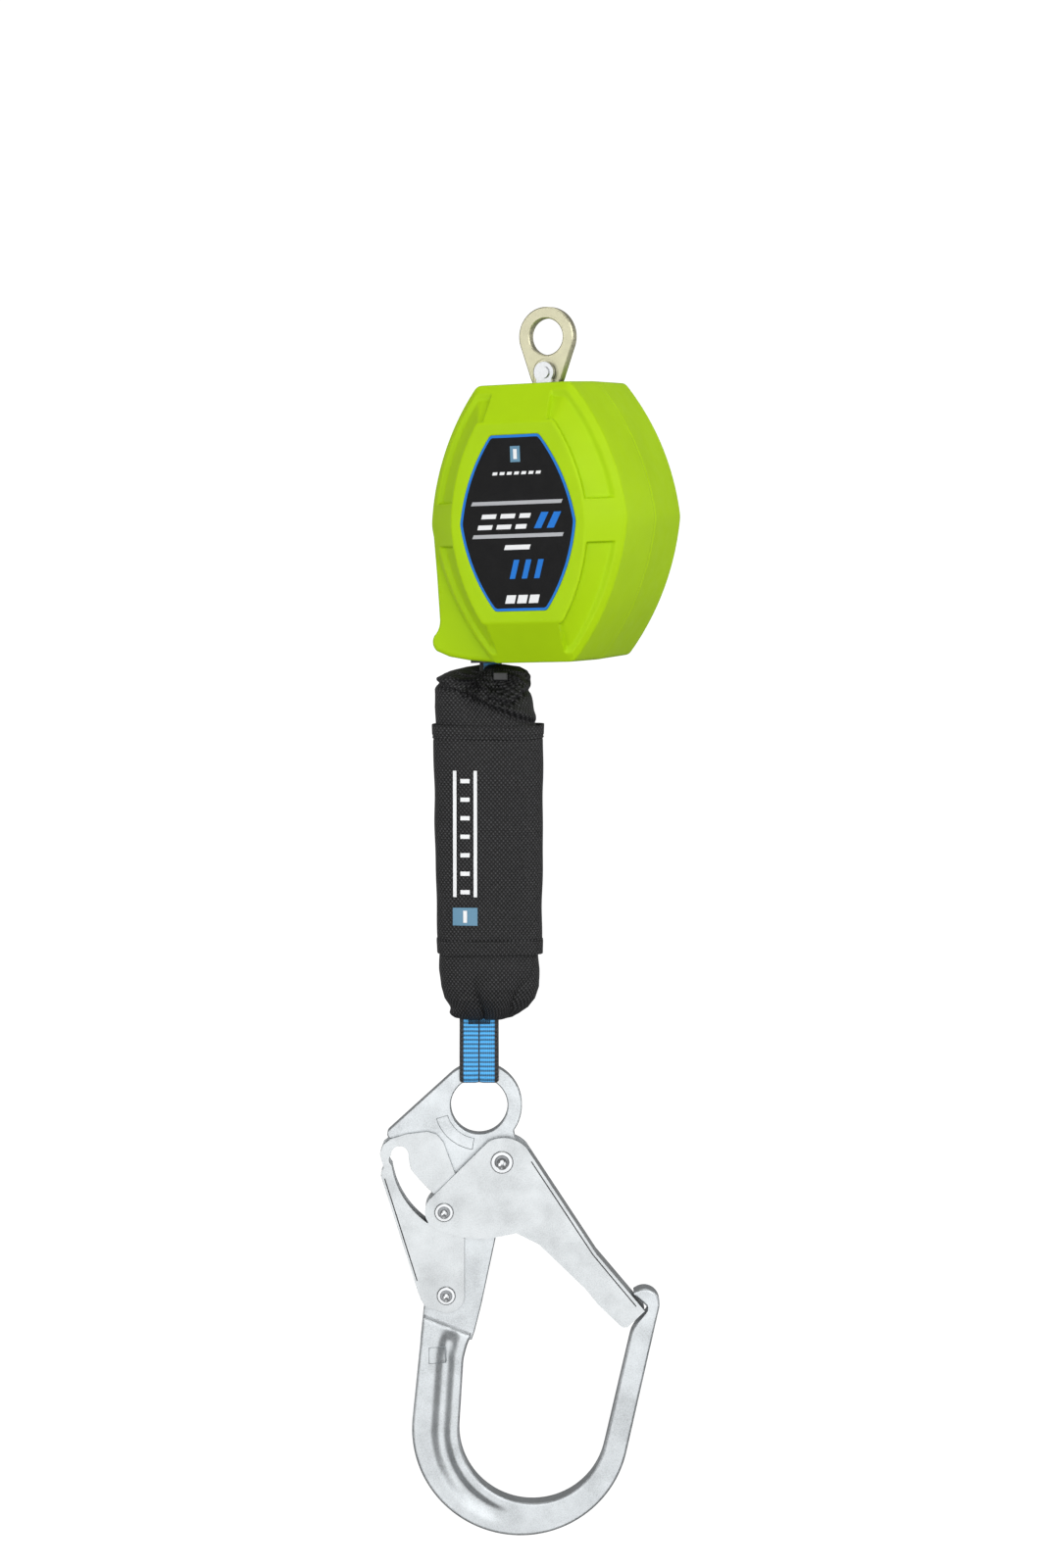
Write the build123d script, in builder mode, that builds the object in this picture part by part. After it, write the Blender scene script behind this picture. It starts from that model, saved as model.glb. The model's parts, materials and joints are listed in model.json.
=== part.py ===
from build123d import *
from math import cos, radians, sin
import os

# Self retracting lifeline: an anchor eye on a swivel, a two-shell housing with a web drum, a centrifugal
# brake and a power spring inside, a covered energy absorber and a large forged snap hook.
# Millimetres. The origin is the centre of the anchor eye's hole, +Z is up, and the housing faces -Y.

# ---------------------------------------------------------------- driving dimensions
LIFELINE_YAW = 25.0            # absorber and hook hang turned this far about Z from the housing
TILT = 2.4                     # the housing hangs leaning, because the lifeline leaves it off centre
FIT = 0.05                     # radial clearance of a shaft that turns in a hole

EYE_HOLE_R = 9.25
EYE_R = 15.2
EYE_THICK = 5.5
EYE_END_R = 9.2
PIN_Z = -18.1                  # pin that joins the eye to the swivel
PIN_R = 2.4

CLEVIS_W = 8.5                 # swivel fork, across X
CLEVIS_D = 11.0                # and front to back
FORK_GAP = 3.0                 # half the gap between the fork's cheeks
STEM_R = 5.0
BRIDGE_TOP = -32.0
BRIDGE_THICK = 4.0
BRIDGE_HALF = 17.0

SHELL_TOP = -23.7
SHELL_BOTTOM = -165.3
SHELL_MID = -94.0              # height of the widest point
SHELL_HALF_W = 57.0
SHELL_TOP_HALF = 27.0
SHELL_BOTTOM_HALF = 23.5
SHELL_BULGE = 5.8              # how far each flank bows out of a straight line
FRONT_Y = -30.5                # the front shell's flanks end at this ridge
CROWN_Y = -43.6                # and its front slopes on to this raised frame round the label
REAR_Y = 41.0                  # back face of the rear shell
RELIEF = 2.0                   # depth of the corner pockets in the sloping front
RIM_HALF_W = 37.0              # the frame round the label
RIM_TOP_HALF = 21.0
RIM_TALL = 50.0
RIM_BOW = 3.6
LABEL_HALF_W = 32.0
LABEL_TOP_HALF = 13.2
LABEL_TALL = 44.3
LABEL_BOW = 3.2
LABEL_T = 0.8
SIDE_RIB_HALF = 10.0           # ribs cross the pockets at mid height
END_RIB_HALF = 20.0            # and at the top and bottom
WALL = 3.0
FRONT_INSET = 2.4              # how much narrower the ridge is than the parting line
REAR_INSET = 2.4
NOZZLE_X = -55.5               # outer edge of the web nozzle, lower left
NOZZLE_FRONT = -26.0
NOZZLE_REAR = 24.0
TOP_HOLE_R = 13.5              # opening that the swivel turns in
SCREW_SPOTS = [(-34.2, -41.6), (34.2, -41.6), (41.8, -129.6), (-49, -147), (19, -159)]
BOSS_R = 4.0
SCREW_R = 1.5

PLATE_FRONT = -17.5            # front face of the front frame plate
PLATE_REAR = 23.5              # back face of the rear frame plate
PLATE_T = 2.5
SPACER_SPOTS = [(-37, -57), (37, -57), (-20, -145), (20, -145)]
SPACER_R = 3.2
BOLT_R = 1.6

WEB_T = 1.7                    # lifeline web: 25 mm wide polyester
WEB_W = 25.0
WEB_PITCH = 1.74               # one turn of the roll to the next
WEB_X = -38.6                  # where the web leaves the nozzle
ROLL_R = 44.0
HALF_TURNS = 23                # wound on the hub when the lifeline is in
HUB_R = 21.8
SHAFT_R = 6.0
FLANGE_R = 46.0

TEETH = 6                      # ratchet ring
RATCHET_R = 48.2
RATCHET_TIP_R = 43.0
RATCHET_ROOT_R = 46.0
TOOTH_START = -3.4             # brings a tooth's steep face just ahead of each swung-out pawl
PAWL_Y = (16.2, 20.2)
PAWL_PIN = 27.0                # distance of a pawl's pin from the shaft

SPRING_R = 36.0
SPRING_Y = (25.5, 33.5)
CASE_R = 39.0
CASE_BACK = 34.5

SLEEVE_TOP = -199.2
SLEEVE_BOTTOM = -317.8
SLEEVE_W = 57.0
SLEEVE_D = 33.0
COVER_BOTTOM = -352.5

RING_U = -6.2                  # hook ring centre, sideways from the lifeline
RING_Z = -398.45
RING_HOLE_R = 14.8
RING_R = 22.3
UPPER_HALF = 4.5               # half thickness of the hook's forged blank under the cheeks
FORGE_HALF = 6.5               # and below the shoulder
SHEET = 2.0                    # gate and lever are folded from sheet this thick
LEVER_IN = 4.7                 # inner faces of the cheeks, from the hook's middle plane
GATE_IN = 6.9
RIVET_R = 4.0
HEAD_T = 1.5
GATE_PIVOT = (11.9, -28.9)
CROSS_PIN = (-18.3, -55.4)
LEVER_PIVOT = (-17.3, -100.0)
GATE_TURN = 48.0               # both turn clockwise as seen from the front
LEVER_TURN = 12.0
CROSS_PIN_R = 3.0


# ---------------------------------------------------------------- frames and shared shapes
def facing(y):
    """The plane at this depth that looks out of the front: sketch x is X, sketch y is Z."""
    return Plane(origin=(0, y, 0), x_dir=(1, 0, 0), z_dir=(0, -1, 0))


def hung(x, z):
    """Where a point of the housing's own upright front view lies once the housing leans about its pin."""
    c, s = cos(radians(TILT)), sin(radians(TILT))
    return (x * c - (z - PIN_Z) * s, PIN_Z + x * s + (z - PIN_Z) * c)


LEAN_X = (cos(radians(TILT)), 0, sin(radians(TILT)))
LEAN_UP = (-sin(radians(TILT)), 0, cos(radians(TILT)))


def front_on(y):
    """As facing, but leaning with the housing."""
    x, z = hung(0, 0)
    return Plane(origin=(x, y, z), x_dir=LEAN_X, z_dir=(0, -1, 0))


def across(height):
    """A plane square to the housing's height, leaning with it."""
    x, z = hung(0, height)
    return Plane(origin=(x, 0, z), x_dir=LEAN_X, z_dir=LEAN_UP)


EXIT = hung(WEB_X, SHELL_BOTTOM)
LINE_X = EXIT[0]               # the lifeline hangs straight down from here
HANG_Z = EXIT[1] - 0.5         # and the absorber swings here
TURN_X = (cos(radians(LIFELINE_YAW)), sin(radians(LIFELINE_YAW)), 0)
TURN_OUT = (sin(radians(LIFELINE_YAW)), -cos(radians(LIFELINE_YAW)), 0)
RING_AT = (LINE_X + RING_U * TURN_X[0], RING_U * TURN_X[1], RING_Z)


def hook_plane(out=0.0):
    """The hook's plane, moved this far towards its front: origin at the ring's centre."""
    return Plane(origin=RING_AT, x_dir=TURN_X, z_dir=TURN_OUT).offset(out)


def level(z, u=0.0):
    """A level plane at this height, turned with the lifeline and centred u beside it."""
    return Plane(origin=(LINE_X + u * TURN_X[0], u * TURN_X[1], z), x_dir=TURN_X, z_dir=(0, 0, 1))


def hexagon(half, top, bottom, z_top, z_bottom, bow):
    """A tall hexagon with bowed flanks, widest at the housing's middle."""
    for side in (1, -1):
        for end, z_end in ((top, z_top), (bottom, z_bottom)):
            rise = 1 if z_end > SHELL_MID else -1
            ThreePointArc(
                (side * end, z_end),
                (side * ((end + half) / 2 + bow * 0.9), (z_end + SHELL_MID) / 2 + rise * bow * 0.4),
                (side * half, SHELL_MID),
            )
    Line((-top, z_top), (top, z_top))
    Line((-bottom, z_bottom), (bottom, z_bottom))


def housing_outline(inset, cut=0.0):
    """The outline at the parting plane: inset is the moulding draft, cut goes off all round."""
    hexagon(SHELL_HALF_W - inset - cut, SHELL_TOP_HALF - inset / 2 - cut * 0.6,
            SHELL_BOTTOM_HALF - inset / 2 - cut * 0.6, SHELL_TOP - inset / 6 - cut,
            SHELL_BOTTOM + inset / 6 + cut, SHELL_BULGE)


def rim_outline(cut=0.0):
    """The raised frame round the label."""
    hexagon(RIM_HALF_W - cut, RIM_TOP_HALF - cut * 0.6, RIM_TOP_HALF + 1 - cut * 0.6,
            SHELL_MID + RIM_TALL - cut, SHELL_MID - RIM_TALL + cut, RIM_BOW)


def label_outline(grow=0.0):
    hexagon(LABEL_HALF_W + grow, LABEL_TOP_HALF + grow * 0.6, LABEL_TOP_HALF + 1 + grow * 0.6,
            SHELL_MID + LABEL_TALL + grow, SHELL_MID - LABEL_TALL - grow, LABEL_BOW)


def nozzle_outline(cut=0.0):
    """The block at the lower left that the web comes out of."""
    left = NOZZLE_X + cut
    bottom = SHELL_BOTTOM + cut
    Polyline((-20, SHELL_MID - 8), (left, SHELL_MID - 12), (left + 0.4, SHELL_MID - 47))
    Polyline((left + 0.4, SHELL_MID - 47), (left - 3.6, SHELL_MID - 57))
    ThreePointArc((left - 3.6, SHELL_MID - 57), (left - 3.4, bottom + 9), (left - 0.8, bottom + 6.5))
    Polyline((left - 0.8, bottom + 6.5), (left + 16, bottom + 2.2), (-22, bottom + 0.3),
             (-20, SHELL_MID - 8))


def half_bulk(sections):
    """A solid through these sections, each a depth, an outline and the outline's arguments."""
    with BuildPart() as bulk:
        for y, outline, sizes in sections:
            with BuildSketch(front_on(y)):
                with BuildLine():
                    outline(*sizes)
                make_face()
        loft(ruled=True)
    return bulk.part


def barrel(y_face, inset, cut=0.0):
    """Half of the housing's bulk, from the parting plane to a face at y_face."""
    return half_bulk([(0, housing_outline, (0, cut)), (y_face, housing_outline, (inset, cut))])


def crown(lower=0.0, cut=0.0):
    """The front's slopes, from the ridge up to the frame round the label."""
    return half_bulk([(FRONT_Y + lower, housing_outline, (FRONT_INSET, cut)),
                      (CROWN_Y + lower, rim_outline, (cut,))])


def spiral_strip(centre, outer_r, thick, pitch, half_turns, flip=1):
    """A strip wound inwards from its outer end on the left, as half circles about two centres."""
    ends = []
    for r_start, way in ((outer_r, 1), (outer_r - thick, 1)):
        side, x, radius = -1, -r_start, r_start - pitch / 4
        for turn in range(half_turns):
            mid_x = x - side * radius
            up = flip * (1 if turn % 2 == 0 else -1)
            ThreePointArc(
                (centre[0] + x, centre[1]),
                (centre[0] + mid_x, centre[1] + up * radius),
                (centre[0] + x - side * 2 * radius, centre[1]),
            )
            x = x - side * 2 * radius
            side = -side
            radius -= pitch / 2
        ends.append(x)
    Line((centre[0] - outer_r, centre[1]), (centre[0] - outer_r + thick, centre[1]))
    Line((centre[0] + ends[0], centre[1]), (centre[0] + ends[1], centre[1]))


AXLE = (0, SHELL_MID)
finished = []


def keep(piece, name):
    """Names a finished piece and writes it out."""
    piece.part.label = name
    export_step(piece.part, "parts/" + name + ".step")
    finished.append(name)


os.makedirs("parts", exist_ok=True)

# ---------------------------------------------------------------- anchor eye
with BuildPart() as eye_plate:
    with BuildSketch(facing(EYE_THICK / 2)):
        Circle(EYE_R)
        with Locations((0, PIN_Z)):
            Circle(EYE_END_R)
        make_hull()
        Circle(EYE_HOLE_R, mode=Mode.SUBTRACT)
        with Locations((0, PIN_Z)):
            Circle(PIN_R + FIT, mode=Mode.SUBTRACT)
    extrude(amount=EYE_THICK)
    chamfer(eye_plate.faces().sort_by(Axis.Y)[0].edges(), 0.6)
    chamfer(eye_plate.faces().sort_by(Axis.Y)[-1].edges(), 0.6)
    # a shallow round-topped seat on each side lets the fork stand closer
    for y in (-EYE_THICK / 2, EYE_THICK / 2 - 0.4):
        with BuildSketch(facing(y + 0.4)):
            with Locations((0, PIN_Z)):
                Circle(7.0)
                with Locations((0, -6)):
                    Rectangle(14, 12)
        extrude(amount=0.4, mode=Mode.SUBTRACT)
keep(eye_plate, "eye_plate")

# ---------------------------------------------------------------- swivel
FORK_BASE = PIN_Z - EYE_END_R - 0.6
STEM_END = BRIDGE_TOP - BRIDGE_THICK - 8.5
with BuildPart() as swivel_clevis:
    with BuildSketch(front_on(CLEVIS_D / 2)):
        with Locations((0, (PIN_Z + BRIDGE_TOP + 0.3) / 2)):
            Rectangle(CLEVIS_W, PIN_Z - BRIDGE_TOP - 0.3)
        with Locations((0, PIN_Z)):
            Circle(CLEVIS_W / 2 + 1.2)
    extrude(amount=CLEVIS_D)
    with BuildSketch(front_on(FORK_GAP)):
        with Locations((0, (PIN_Z + FORK_BASE) / 2 + 6)):
            Rectangle(3 * CLEVIS_W, PIN_Z - FORK_BASE + 12)
    extrude(amount=2 * FORK_GAP, mode=Mode.SUBTRACT)
    with BuildSketch(across(BRIDGE_TOP + 0.3)):
        Circle(STEM_R)
    extrude(amount=STEM_END - BRIDGE_TOP - 0.3)
    with BuildSketch(front_on(CLEVIS_D / 2)):
        with Locations((0, PIN_Z)):
            Circle(PIN_R)
    extrude(amount=CLEVIS_D, mode=Mode.SUBTRACT)
keep(swivel_clevis, "swivel_clevis")

with BuildPart() as eye_pin:
    with BuildSketch(front_on(CLEVIS_D / 2)):
        with Locations((0, PIN_Z)):
            Circle(PIN_R)
    extrude(amount=CLEVIS_D)
    for y in (CLEVIS_D / 2 + 1.1, -CLEVIS_D / 2):
        with BuildSketch(front_on(y)):
            with Locations((0, PIN_Z)):
                Circle(3.1)
        extrude(amount=1.1)
keep(eye_pin, "eye_pin")

WASHER_T = 1.4
with BuildPart() as swivel_washer:
    with BuildSketch(across(BRIDGE_TOP - BRIDGE_THICK - 0.2)):
        Circle(9)
        Circle(STEM_R, mode=Mode.SUBTRACT)
    extrude(amount=-WASHER_T)
keep(swivel_washer, "swivel_washer")

with BuildPart() as swivel_nut:
    with BuildSketch(across(BRIDGE_TOP - BRIDGE_THICK - 0.2 - WASHER_T)):
        RegularPolygon(8, 6)
        Circle(STEM_R, mode=Mode.SUBTRACT)
    extrude(amount=-5.5)
keep(swivel_nut, "swivel_nut")

# ---------------------------------------------------------------- housing shells
with BuildPart() as pockets:
    with BuildSketch(front_on(FRONT_Y + RELIEF)):
        with BuildLine():
            housing_outline(FRONT_INSET, 2.5)
        make_face()
        with BuildLine():
            rim_outline(-1.5)
        make_face(mode=Mode.SUBTRACT)
        with Locations((0, SHELL_MID)):
            Rectangle(3 * SHELL_HALF_W, 2 * SIDE_RIB_HALF, mode=Mode.SUBTRACT)
            Rectangle(2 * END_RIB_HALF, 3 * SHELL_HALF_W, mode=Mode.SUBTRACT)
    extrude(amount=FRONT_Y - CROWN_Y + RELIEF)
    add(crown(RELIEF), mode=Mode.SUBTRACT)

WEB_SLOT = (9.0, 29.6)         # cut through the bottom of both shells for the nozzle insert
with BuildPart() as front_shell:
    add(barrel(FRONT_Y, FRONT_INSET))
    add(crown())
    with BuildSketch(front_on(0)):
        with BuildLine():
            nozzle_outline()
        make_face()
    extrude(amount=-NOZZLE_FRONT)
    add(pockets.part, mode=Mode.SUBTRACT)
    # cavity
    add(barrel(FRONT_Y, FRONT_INSET, WALL), mode=Mode.SUBTRACT)
    add(crown(RELIEF + WALL, WALL), mode=Mode.SUBTRACT)
    with BuildSketch(front_on(0)):
        with BuildLine():
            nozzle_outline(WALL)
        make_face()
    extrude(amount=-NOZZLE_FRONT - WALL, mode=Mode.SUBTRACT)
    # screw bosses
    with BuildSketch(front_on(0)):
        with Locations(*SCREW_SPOTS):
            Circle(BOSS_R)
        with BuildLine():
            housing_outline(FRONT_INSET, 1.5)
        make_face(mode=Mode.INTERSECT)
    extrude(amount=-NOZZLE_FRONT - 1)
    with BuildSketch(front_on(0)):
        with Locations(*SCREW_SPOTS):
            Circle(SCREW_R)
    extrude(amount=16, mode=Mode.SUBTRACT)
    # swivel opening, web slot and label seat
    with BuildSketch(across(SHELL_TOP - WALL - 2)):
        Circle(TOP_HOLE_R)
    extrude(amount=WALL + 4, mode=Mode.SUBTRACT)
    with BuildSketch(across(SHELL_BOTTOM - 2)):
        with Locations((WEB_X, 0)):
            Rectangle(*WEB_SLOT)
    extrude(amount=WALL + 8, mode=Mode.SUBTRACT)
    with BuildSketch(front_on(CROWN_Y)):
        with BuildLine():
            label_outline(0.3)
        make_face()
    extrude(amount=-LABEL_T, mode=Mode.SUBTRACT)
keep(front_shell, "front_shell")

with BuildPart() as front_label:
    with BuildSketch(front_on(CROWN_Y + LABEL_T)):
        with BuildLine():
            label_outline()
        make_face()
    extrude(amount=LABEL_T)
keep(front_label, "front_label")

REAR_LABEL_W = 58.0
REAR_LABEL_H = 40.0
SCREW_SEAT = REAR_Y - 26        # the screws sit in deep counterbores
with BuildPart() as rear_shell:
    add(barrel(REAR_Y, REAR_INSET))
    with BuildSketch(front_on(0)):
        with BuildLine():
            nozzle_outline()
        make_face()
    extrude(amount=-NOZZLE_REAR)
    add(barrel(REAR_Y - WALL, REAR_INSET, WALL), mode=Mode.SUBTRACT)
    with BuildSketch(front_on(0)):
        with BuildLine():
            nozzle_outline(WALL)
        make_face()
    extrude(amount=-NOZZLE_REAR + WALL, mode=Mode.SUBTRACT)
    with BuildSketch(front_on(0)):
        with Locations(*SCREW_SPOTS):
            Circle(BOSS_R)
        with BuildLine():
            housing_outline(REAR_INSET, 1.5)
        make_face(mode=Mode.INTERSECT)
    extrude(amount=-REAR_Y + 1)
    with BuildSketch(front_on(0)):
        with Locations(*SCREW_SPOTS):
            Circle(SCREW_R)
    extrude(amount=-REAR_Y, mode=Mode.SUBTRACT)
    with BuildSketch(front_on(REAR_Y)):
        with Locations(*SCREW_SPOTS):
            Circle(3.0)
    extrude(amount=REAR_Y - SCREW_SEAT - 3, mode=Mode.SUBTRACT)
    with BuildSketch(across(SHELL_TOP - WALL - 2)):
        Circle(TOP_HOLE_R)
    extrude(amount=WALL + 4, mode=Mode.SUBTRACT)
    with BuildSketch(across(SHELL_BOTTOM - 2)):
        with Locations((WEB_X, 0)):
            Rectangle(*WEB_SLOT)
    extrude(amount=WALL + 8, mode=Mode.SUBTRACT)
    with BuildSketch(front_on(REAR_Y)):
        with Locations(AXLE):
            RectangleRounded(REAR_LABEL_W + 0.4, REAR_LABEL_H + 0.4, 5.2)
    extrude(amount=0.6, mode=Mode.SUBTRACT)
keep(rear_shell, "rear_shell")

with BuildPart() as rear_label:
    with BuildSketch(front_on(REAR_Y)):
        with Locations(AXLE):
            RectangleRounded(REAR_LABEL_W, REAR_LABEL_H, 5.0)
    extrude(amount=0.6)
keep(rear_label, "rear_label")

with BuildPart() as housing_screws:
    with BuildSketch(front_on(SCREW_SEAT + 3)):
        with Locations(*SCREW_SPOTS):
            Circle(SCREW_R)
    extrude(amount=SCREW_SEAT + 3 + 15)
    with BuildSketch(front_on(SCREW_SEAT + 6)):
        with Locations(*SCREW_SPOTS):
            Circle(2.8)
    extrude(amount=3)
    with BuildSketch(front_on(SCREW_SEAT + 6)):
        with Locations(*SCREW_SPOTS):
            RegularPolygon(1.3, 6)
    extrude(amount=1.5, mode=Mode.SUBTRACT)
keep(housing_screws, "housing_screws")

# web nozzle insert: a neck in the shells' slot under a wider flange
GUIDE_NECK = 7.3
with BuildPart() as web_guide:
    with BuildSketch(across(SHELL_BOTTOM + 0.1)):
        with Locations((WEB_X, 0)):
            Rectangle(8.8, 29.4)
    extrude(amount=GUIDE_NECK)
    with BuildSketch(across(SHELL_BOTTOM + GUIDE_NECK)):
        with Locations((WEB_X, 0)):
            RectangleRounded(10.6, 29.4, 2)
    extrude(amount=3.2)
    with BuildSketch(across(SHELL_BOTTOM)):
        with Locations((WEB_X, 0)):
            Rectangle(3.8, WEB_W + 1.6)
    extrude(amount=GUIDE_NECK + 5, mode=Mode.SUBTRACT)
keep(web_guide, "web_guide")

# ---------------------------------------------------------------- load frame
with BuildPart() as frame_bracket:
    for y in (PLATE_FRONT + PLATE_T, PLATE_REAR):
        with BuildSketch(front_on(y)):
            with Locations(*SPACER_SPOTS):
                Circle(4.2)
            with Locations((0, BRIDGE_TOP - 2)):
                Rectangle(2 * BRIDGE_HALF, 4)
            make_hull()
            with Locations(*SPACER_SPOTS):
                Circle(BOLT_R, mode=Mode.SUBTRACT)
            with Locations(AXLE):
                Circle(8.0, mode=Mode.SUBTRACT)
        extrude(amount=PLATE_T)
    with BuildSketch(across(BRIDGE_TOP)):
        with Locations((0, (PLATE_FRONT + PLATE_REAR) / 2)):
            Rectangle(2 * BRIDGE_HALF, PLATE_REAR - PLATE_FRONT)
        Circle(STEM_R + 1.5, mode=Mode.SUBTRACT)
    extrude(amount=-BRIDGE_THICK)
keep(frame_bracket, "frame_bracket")

with BuildPart() as swivel_bushing:
    with BuildSketch(across(BRIDGE_TOP)):
        Circle(STEM_R + 1.5)
        Circle(STEM_R + FIT, mode=Mode.SUBTRACT)
    extrude(amount=-BRIDGE_THICK)
keep(swivel_bushing, "swivel_bushing")

INNER_FRONT = PLATE_FRONT + PLATE_T
INNER_REAR = PLATE_REAR - PLATE_T
with BuildPart() as frame_spacers:
    with BuildSketch(front_on(INNER_REAR)):
        with Locations(*SPACER_SPOTS):
            Circle(SPACER_R)
            Circle(BOLT_R, mode=Mode.SUBTRACT)
    extrude(amount=INNER_REAR - INNER_FRONT)
keep(frame_spacers, "frame_spacers")

with BuildPart() as frame_bolts:
    with BuildSketch(front_on(PLATE_REAR)):
        with Locations(*SPACER_SPOTS):
            Circle(BOLT_R)
    extrude(amount=PLATE_REAR - PLATE_FRONT)
    for y in (PLATE_REAR + 2.2, PLATE_FRONT):
        with BuildSketch(front_on(y)):
            with Locations(*SPACER_SPOTS):
                RegularPolygon(3.0, 6)
        extrude(amount=2.2)
keep(frame_bolts, "frame_bolts")

with BuildPart() as shaft_bushings:
    for y in (INNER_FRONT, PLATE_REAR):
        with BuildSketch(front_on(y)):
            with Locations(AXLE):
                Circle(8.0)
                Circle(SHAFT_R + FIT, mode=Mode.SUBTRACT)
        extrude(amount=PLATE_T)
keep(shaft_bushings, "shaft_bushings")

# ---------------------------------------------------------------- drum and its shaft
DRUM_REAR = 15.5
SHAFT_FRONT = PLATE_FRONT - 3.0
SHAFT_REAR = SPRING_Y[1]
PAWL_PINS = [(PAWL_PIN, SHELL_MID), (-PAWL_PIN, SHELL_MID)]
with BuildPart() as drum:
    with BuildSketch(front_on(DRUM_REAR)):
        with Locations(AXLE):
            Circle(FLANGE_R)
    extrude(amount=DRUM_REAR - WEB_W / 2 - 0.3)
    with BuildSketch(front_on(WEB_W / 2 + 0.3)):
        with Locations(AXLE):
            Circle(HUB_R)
    extrude(amount=WEB_W + 0.6)
    with BuildSketch(front_on(-WEB_W / 2 - 0.3)):
        with Locations(AXLE):
            Circle(FLANGE_R)
    extrude(amount=1.6)
    with BuildSketch(front_on(DRUM_REAR)):
        with Locations(AXLE):
            Circle(SHAFT_R)
            with PolarLocations(15, 6, start_angle=30):
                Circle(3.6)
    extrude(amount=DRUM_REAR + WEB_W / 2 + 3, mode=Mode.SUBTRACT)
    with BuildSketch(front_on(-WEB_W / 2 - 0.3)):
        with Locations(AXLE):
            with PolarLocations(34, 6):
                Circle(6.0)
    extrude(amount=1.6, mode=Mode.SUBTRACT)
    with BuildSketch(front_on(WEB_W / 2 + 0.3)):
        with Locations((0, SHELL_MID + 15)):
            Circle(2.0)
    extrude(amount=WEB_W + 0.6, mode=Mode.SUBTRACT)
    with BuildSketch(front_on(DRUM_REAR)):
        with Locations(*PAWL_PINS):
            Circle(2.5)
    extrude(amount=1.5, mode=Mode.SUBTRACT)
keep(drum, "drum")

with BuildPart() as web_anchor_pin:
    with BuildSketch(front_on(WEB_W / 2 + 0.3)):
        with Locations((0, SHELL_MID + 15)):
            Circle(2.0)
    extrude(amount=WEB_W + 0.6)
keep(web_anchor_pin, "web_anchor_pin")

with BuildPart() as web_roll:
    with BuildSketch(front_on(WEB_W / 2)):
        with BuildLine():
            spiral_strip(AXLE, ROLL_R, WEB_T, WEB_PITCH, HALF_TURNS)
        make_face()
    extrude(amount=WEB_W)
keep(web_roll, "web_roll")

with BuildPart() as main_shaft:
    with BuildSketch(front_on(SHAFT_REAR)):
        with Locations(AXLE):
            Circle(SHAFT_R)
    extrude(amount=SHAFT_REAR - SHAFT_FRONT)
    with BuildSketch(front_on(PLATE_FRONT - 0.4)):
        with Locations(AXLE):
            Circle(SHAFT_R)
            Circle(SHAFT_R - 0.6, mode=Mode.SUBTRACT)
    extrude(amount=1.2, mode=Mode.SUBTRACT)
keep(main_shaft, "main_shaft")

with BuildPart() as shaft_circlip:
    with BuildSketch(front_on(PLATE_FRONT - 0.4)):
        with Locations(AXLE):
            Circle(SHAFT_R + 1.8)
            Circle(SHAFT_R - 0.6, mode=Mode.SUBTRACT)
            with Locations((0, -SHAFT_R)):
                Rectangle(4, 6, mode=Mode.SUBTRACT)
    extrude(amount=1.2)
keep(shaft_circlip, "shaft_circlip")

with BuildPart() as pawl_pins:
    with BuildSketch(front_on(PAWL_Y[1] + 0.3)):
        with Locations(*PAWL_PINS):
            Circle(2.5)
    extrude(amount=PAWL_Y[1] + 0.3 - DRUM_REAR + 1.5)
keep(pawl_pins, "pawl_pins")

# ---------------------------------------------------------------- centrifugal brake
with BuildPart() as ratchet_ring:
    with BuildSketch(front_on(INNER_REAR)):
        with Locations(AXLE):
            Circle(RATCHET_R)
            Circle(RATCHET_ROOT_R, mode=Mode.SUBTRACT)
            with PolarLocations(0, TEETH, start_angle=TOOTH_START):
                Polygon((RATCHET_TIP_R, -4), (RATCHET_ROOT_R + 1, -4), (RATCHET_ROOT_R + 1, 3), align=None)
    extrude(amount=INNER_REAR - PAWL_Y[0])
keep(ratchet_ring, "ratchet_ring")

for letter, turn in (("a", 0), ("b", 180)):
    home = front_on(PAWL_Y[1]) * Pos(0, SHELL_MID) * Rot(0, 0, turn)
    with BuildPart() as pawl:
        with BuildSketch(home):
            turns = [(22.4, 0), (22.6, 30), (24.6, 33.6), (27.4, 31.6), (31.8, 4), (31.8, 0)]
            with BuildLine():
                Polyline(*turns, close=True)
            make_face()
            with Locations((PAWL_PIN, 0)):
                Circle(5.0)
                Circle(2.5 + FIT, mode=Mode.SUBTRACT)
        extrude(amount=PAWL_Y[1] - PAWL_Y[0])
    keep(pawl, "pawl_" + letter)
    # hairpin spring that holds the pawl in, hooked on a post of the drum
    spring_home = front_on((PAWL_Y[0] + PAWL_Y[1]) / 2) * Pos(0, SHELL_MID) * Rot(0, 0, turn)
    with BuildPart() as pawl_spring:
        with BuildLine(spring_home) as hairpin:
            FilletPolyline((8, 21.2), (18.5, 19.5), (13, 11.5), (21.6, 15.2), radius=1.2)
        with BuildSketch(Plane(origin=hairpin.wire() @ 0, z_dir=hairpin.wire() % 0)):
            Circle(0.45)
        sweep()
    keep(pawl_spring, "pawl_spring_" + letter)

with BuildPart() as spring_posts:
    with BuildSketch(front_on(PAWL_Y[1] - 0.5)):
        with Locations(AXLE):
            with Locations((8, 23.2), (-8, -23.2)):
                Circle(1.5)
    extrude(amount=PAWL_Y[1] - 0.5 - DRUM_REAR)
keep(spring_posts, "spring_posts")

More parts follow.
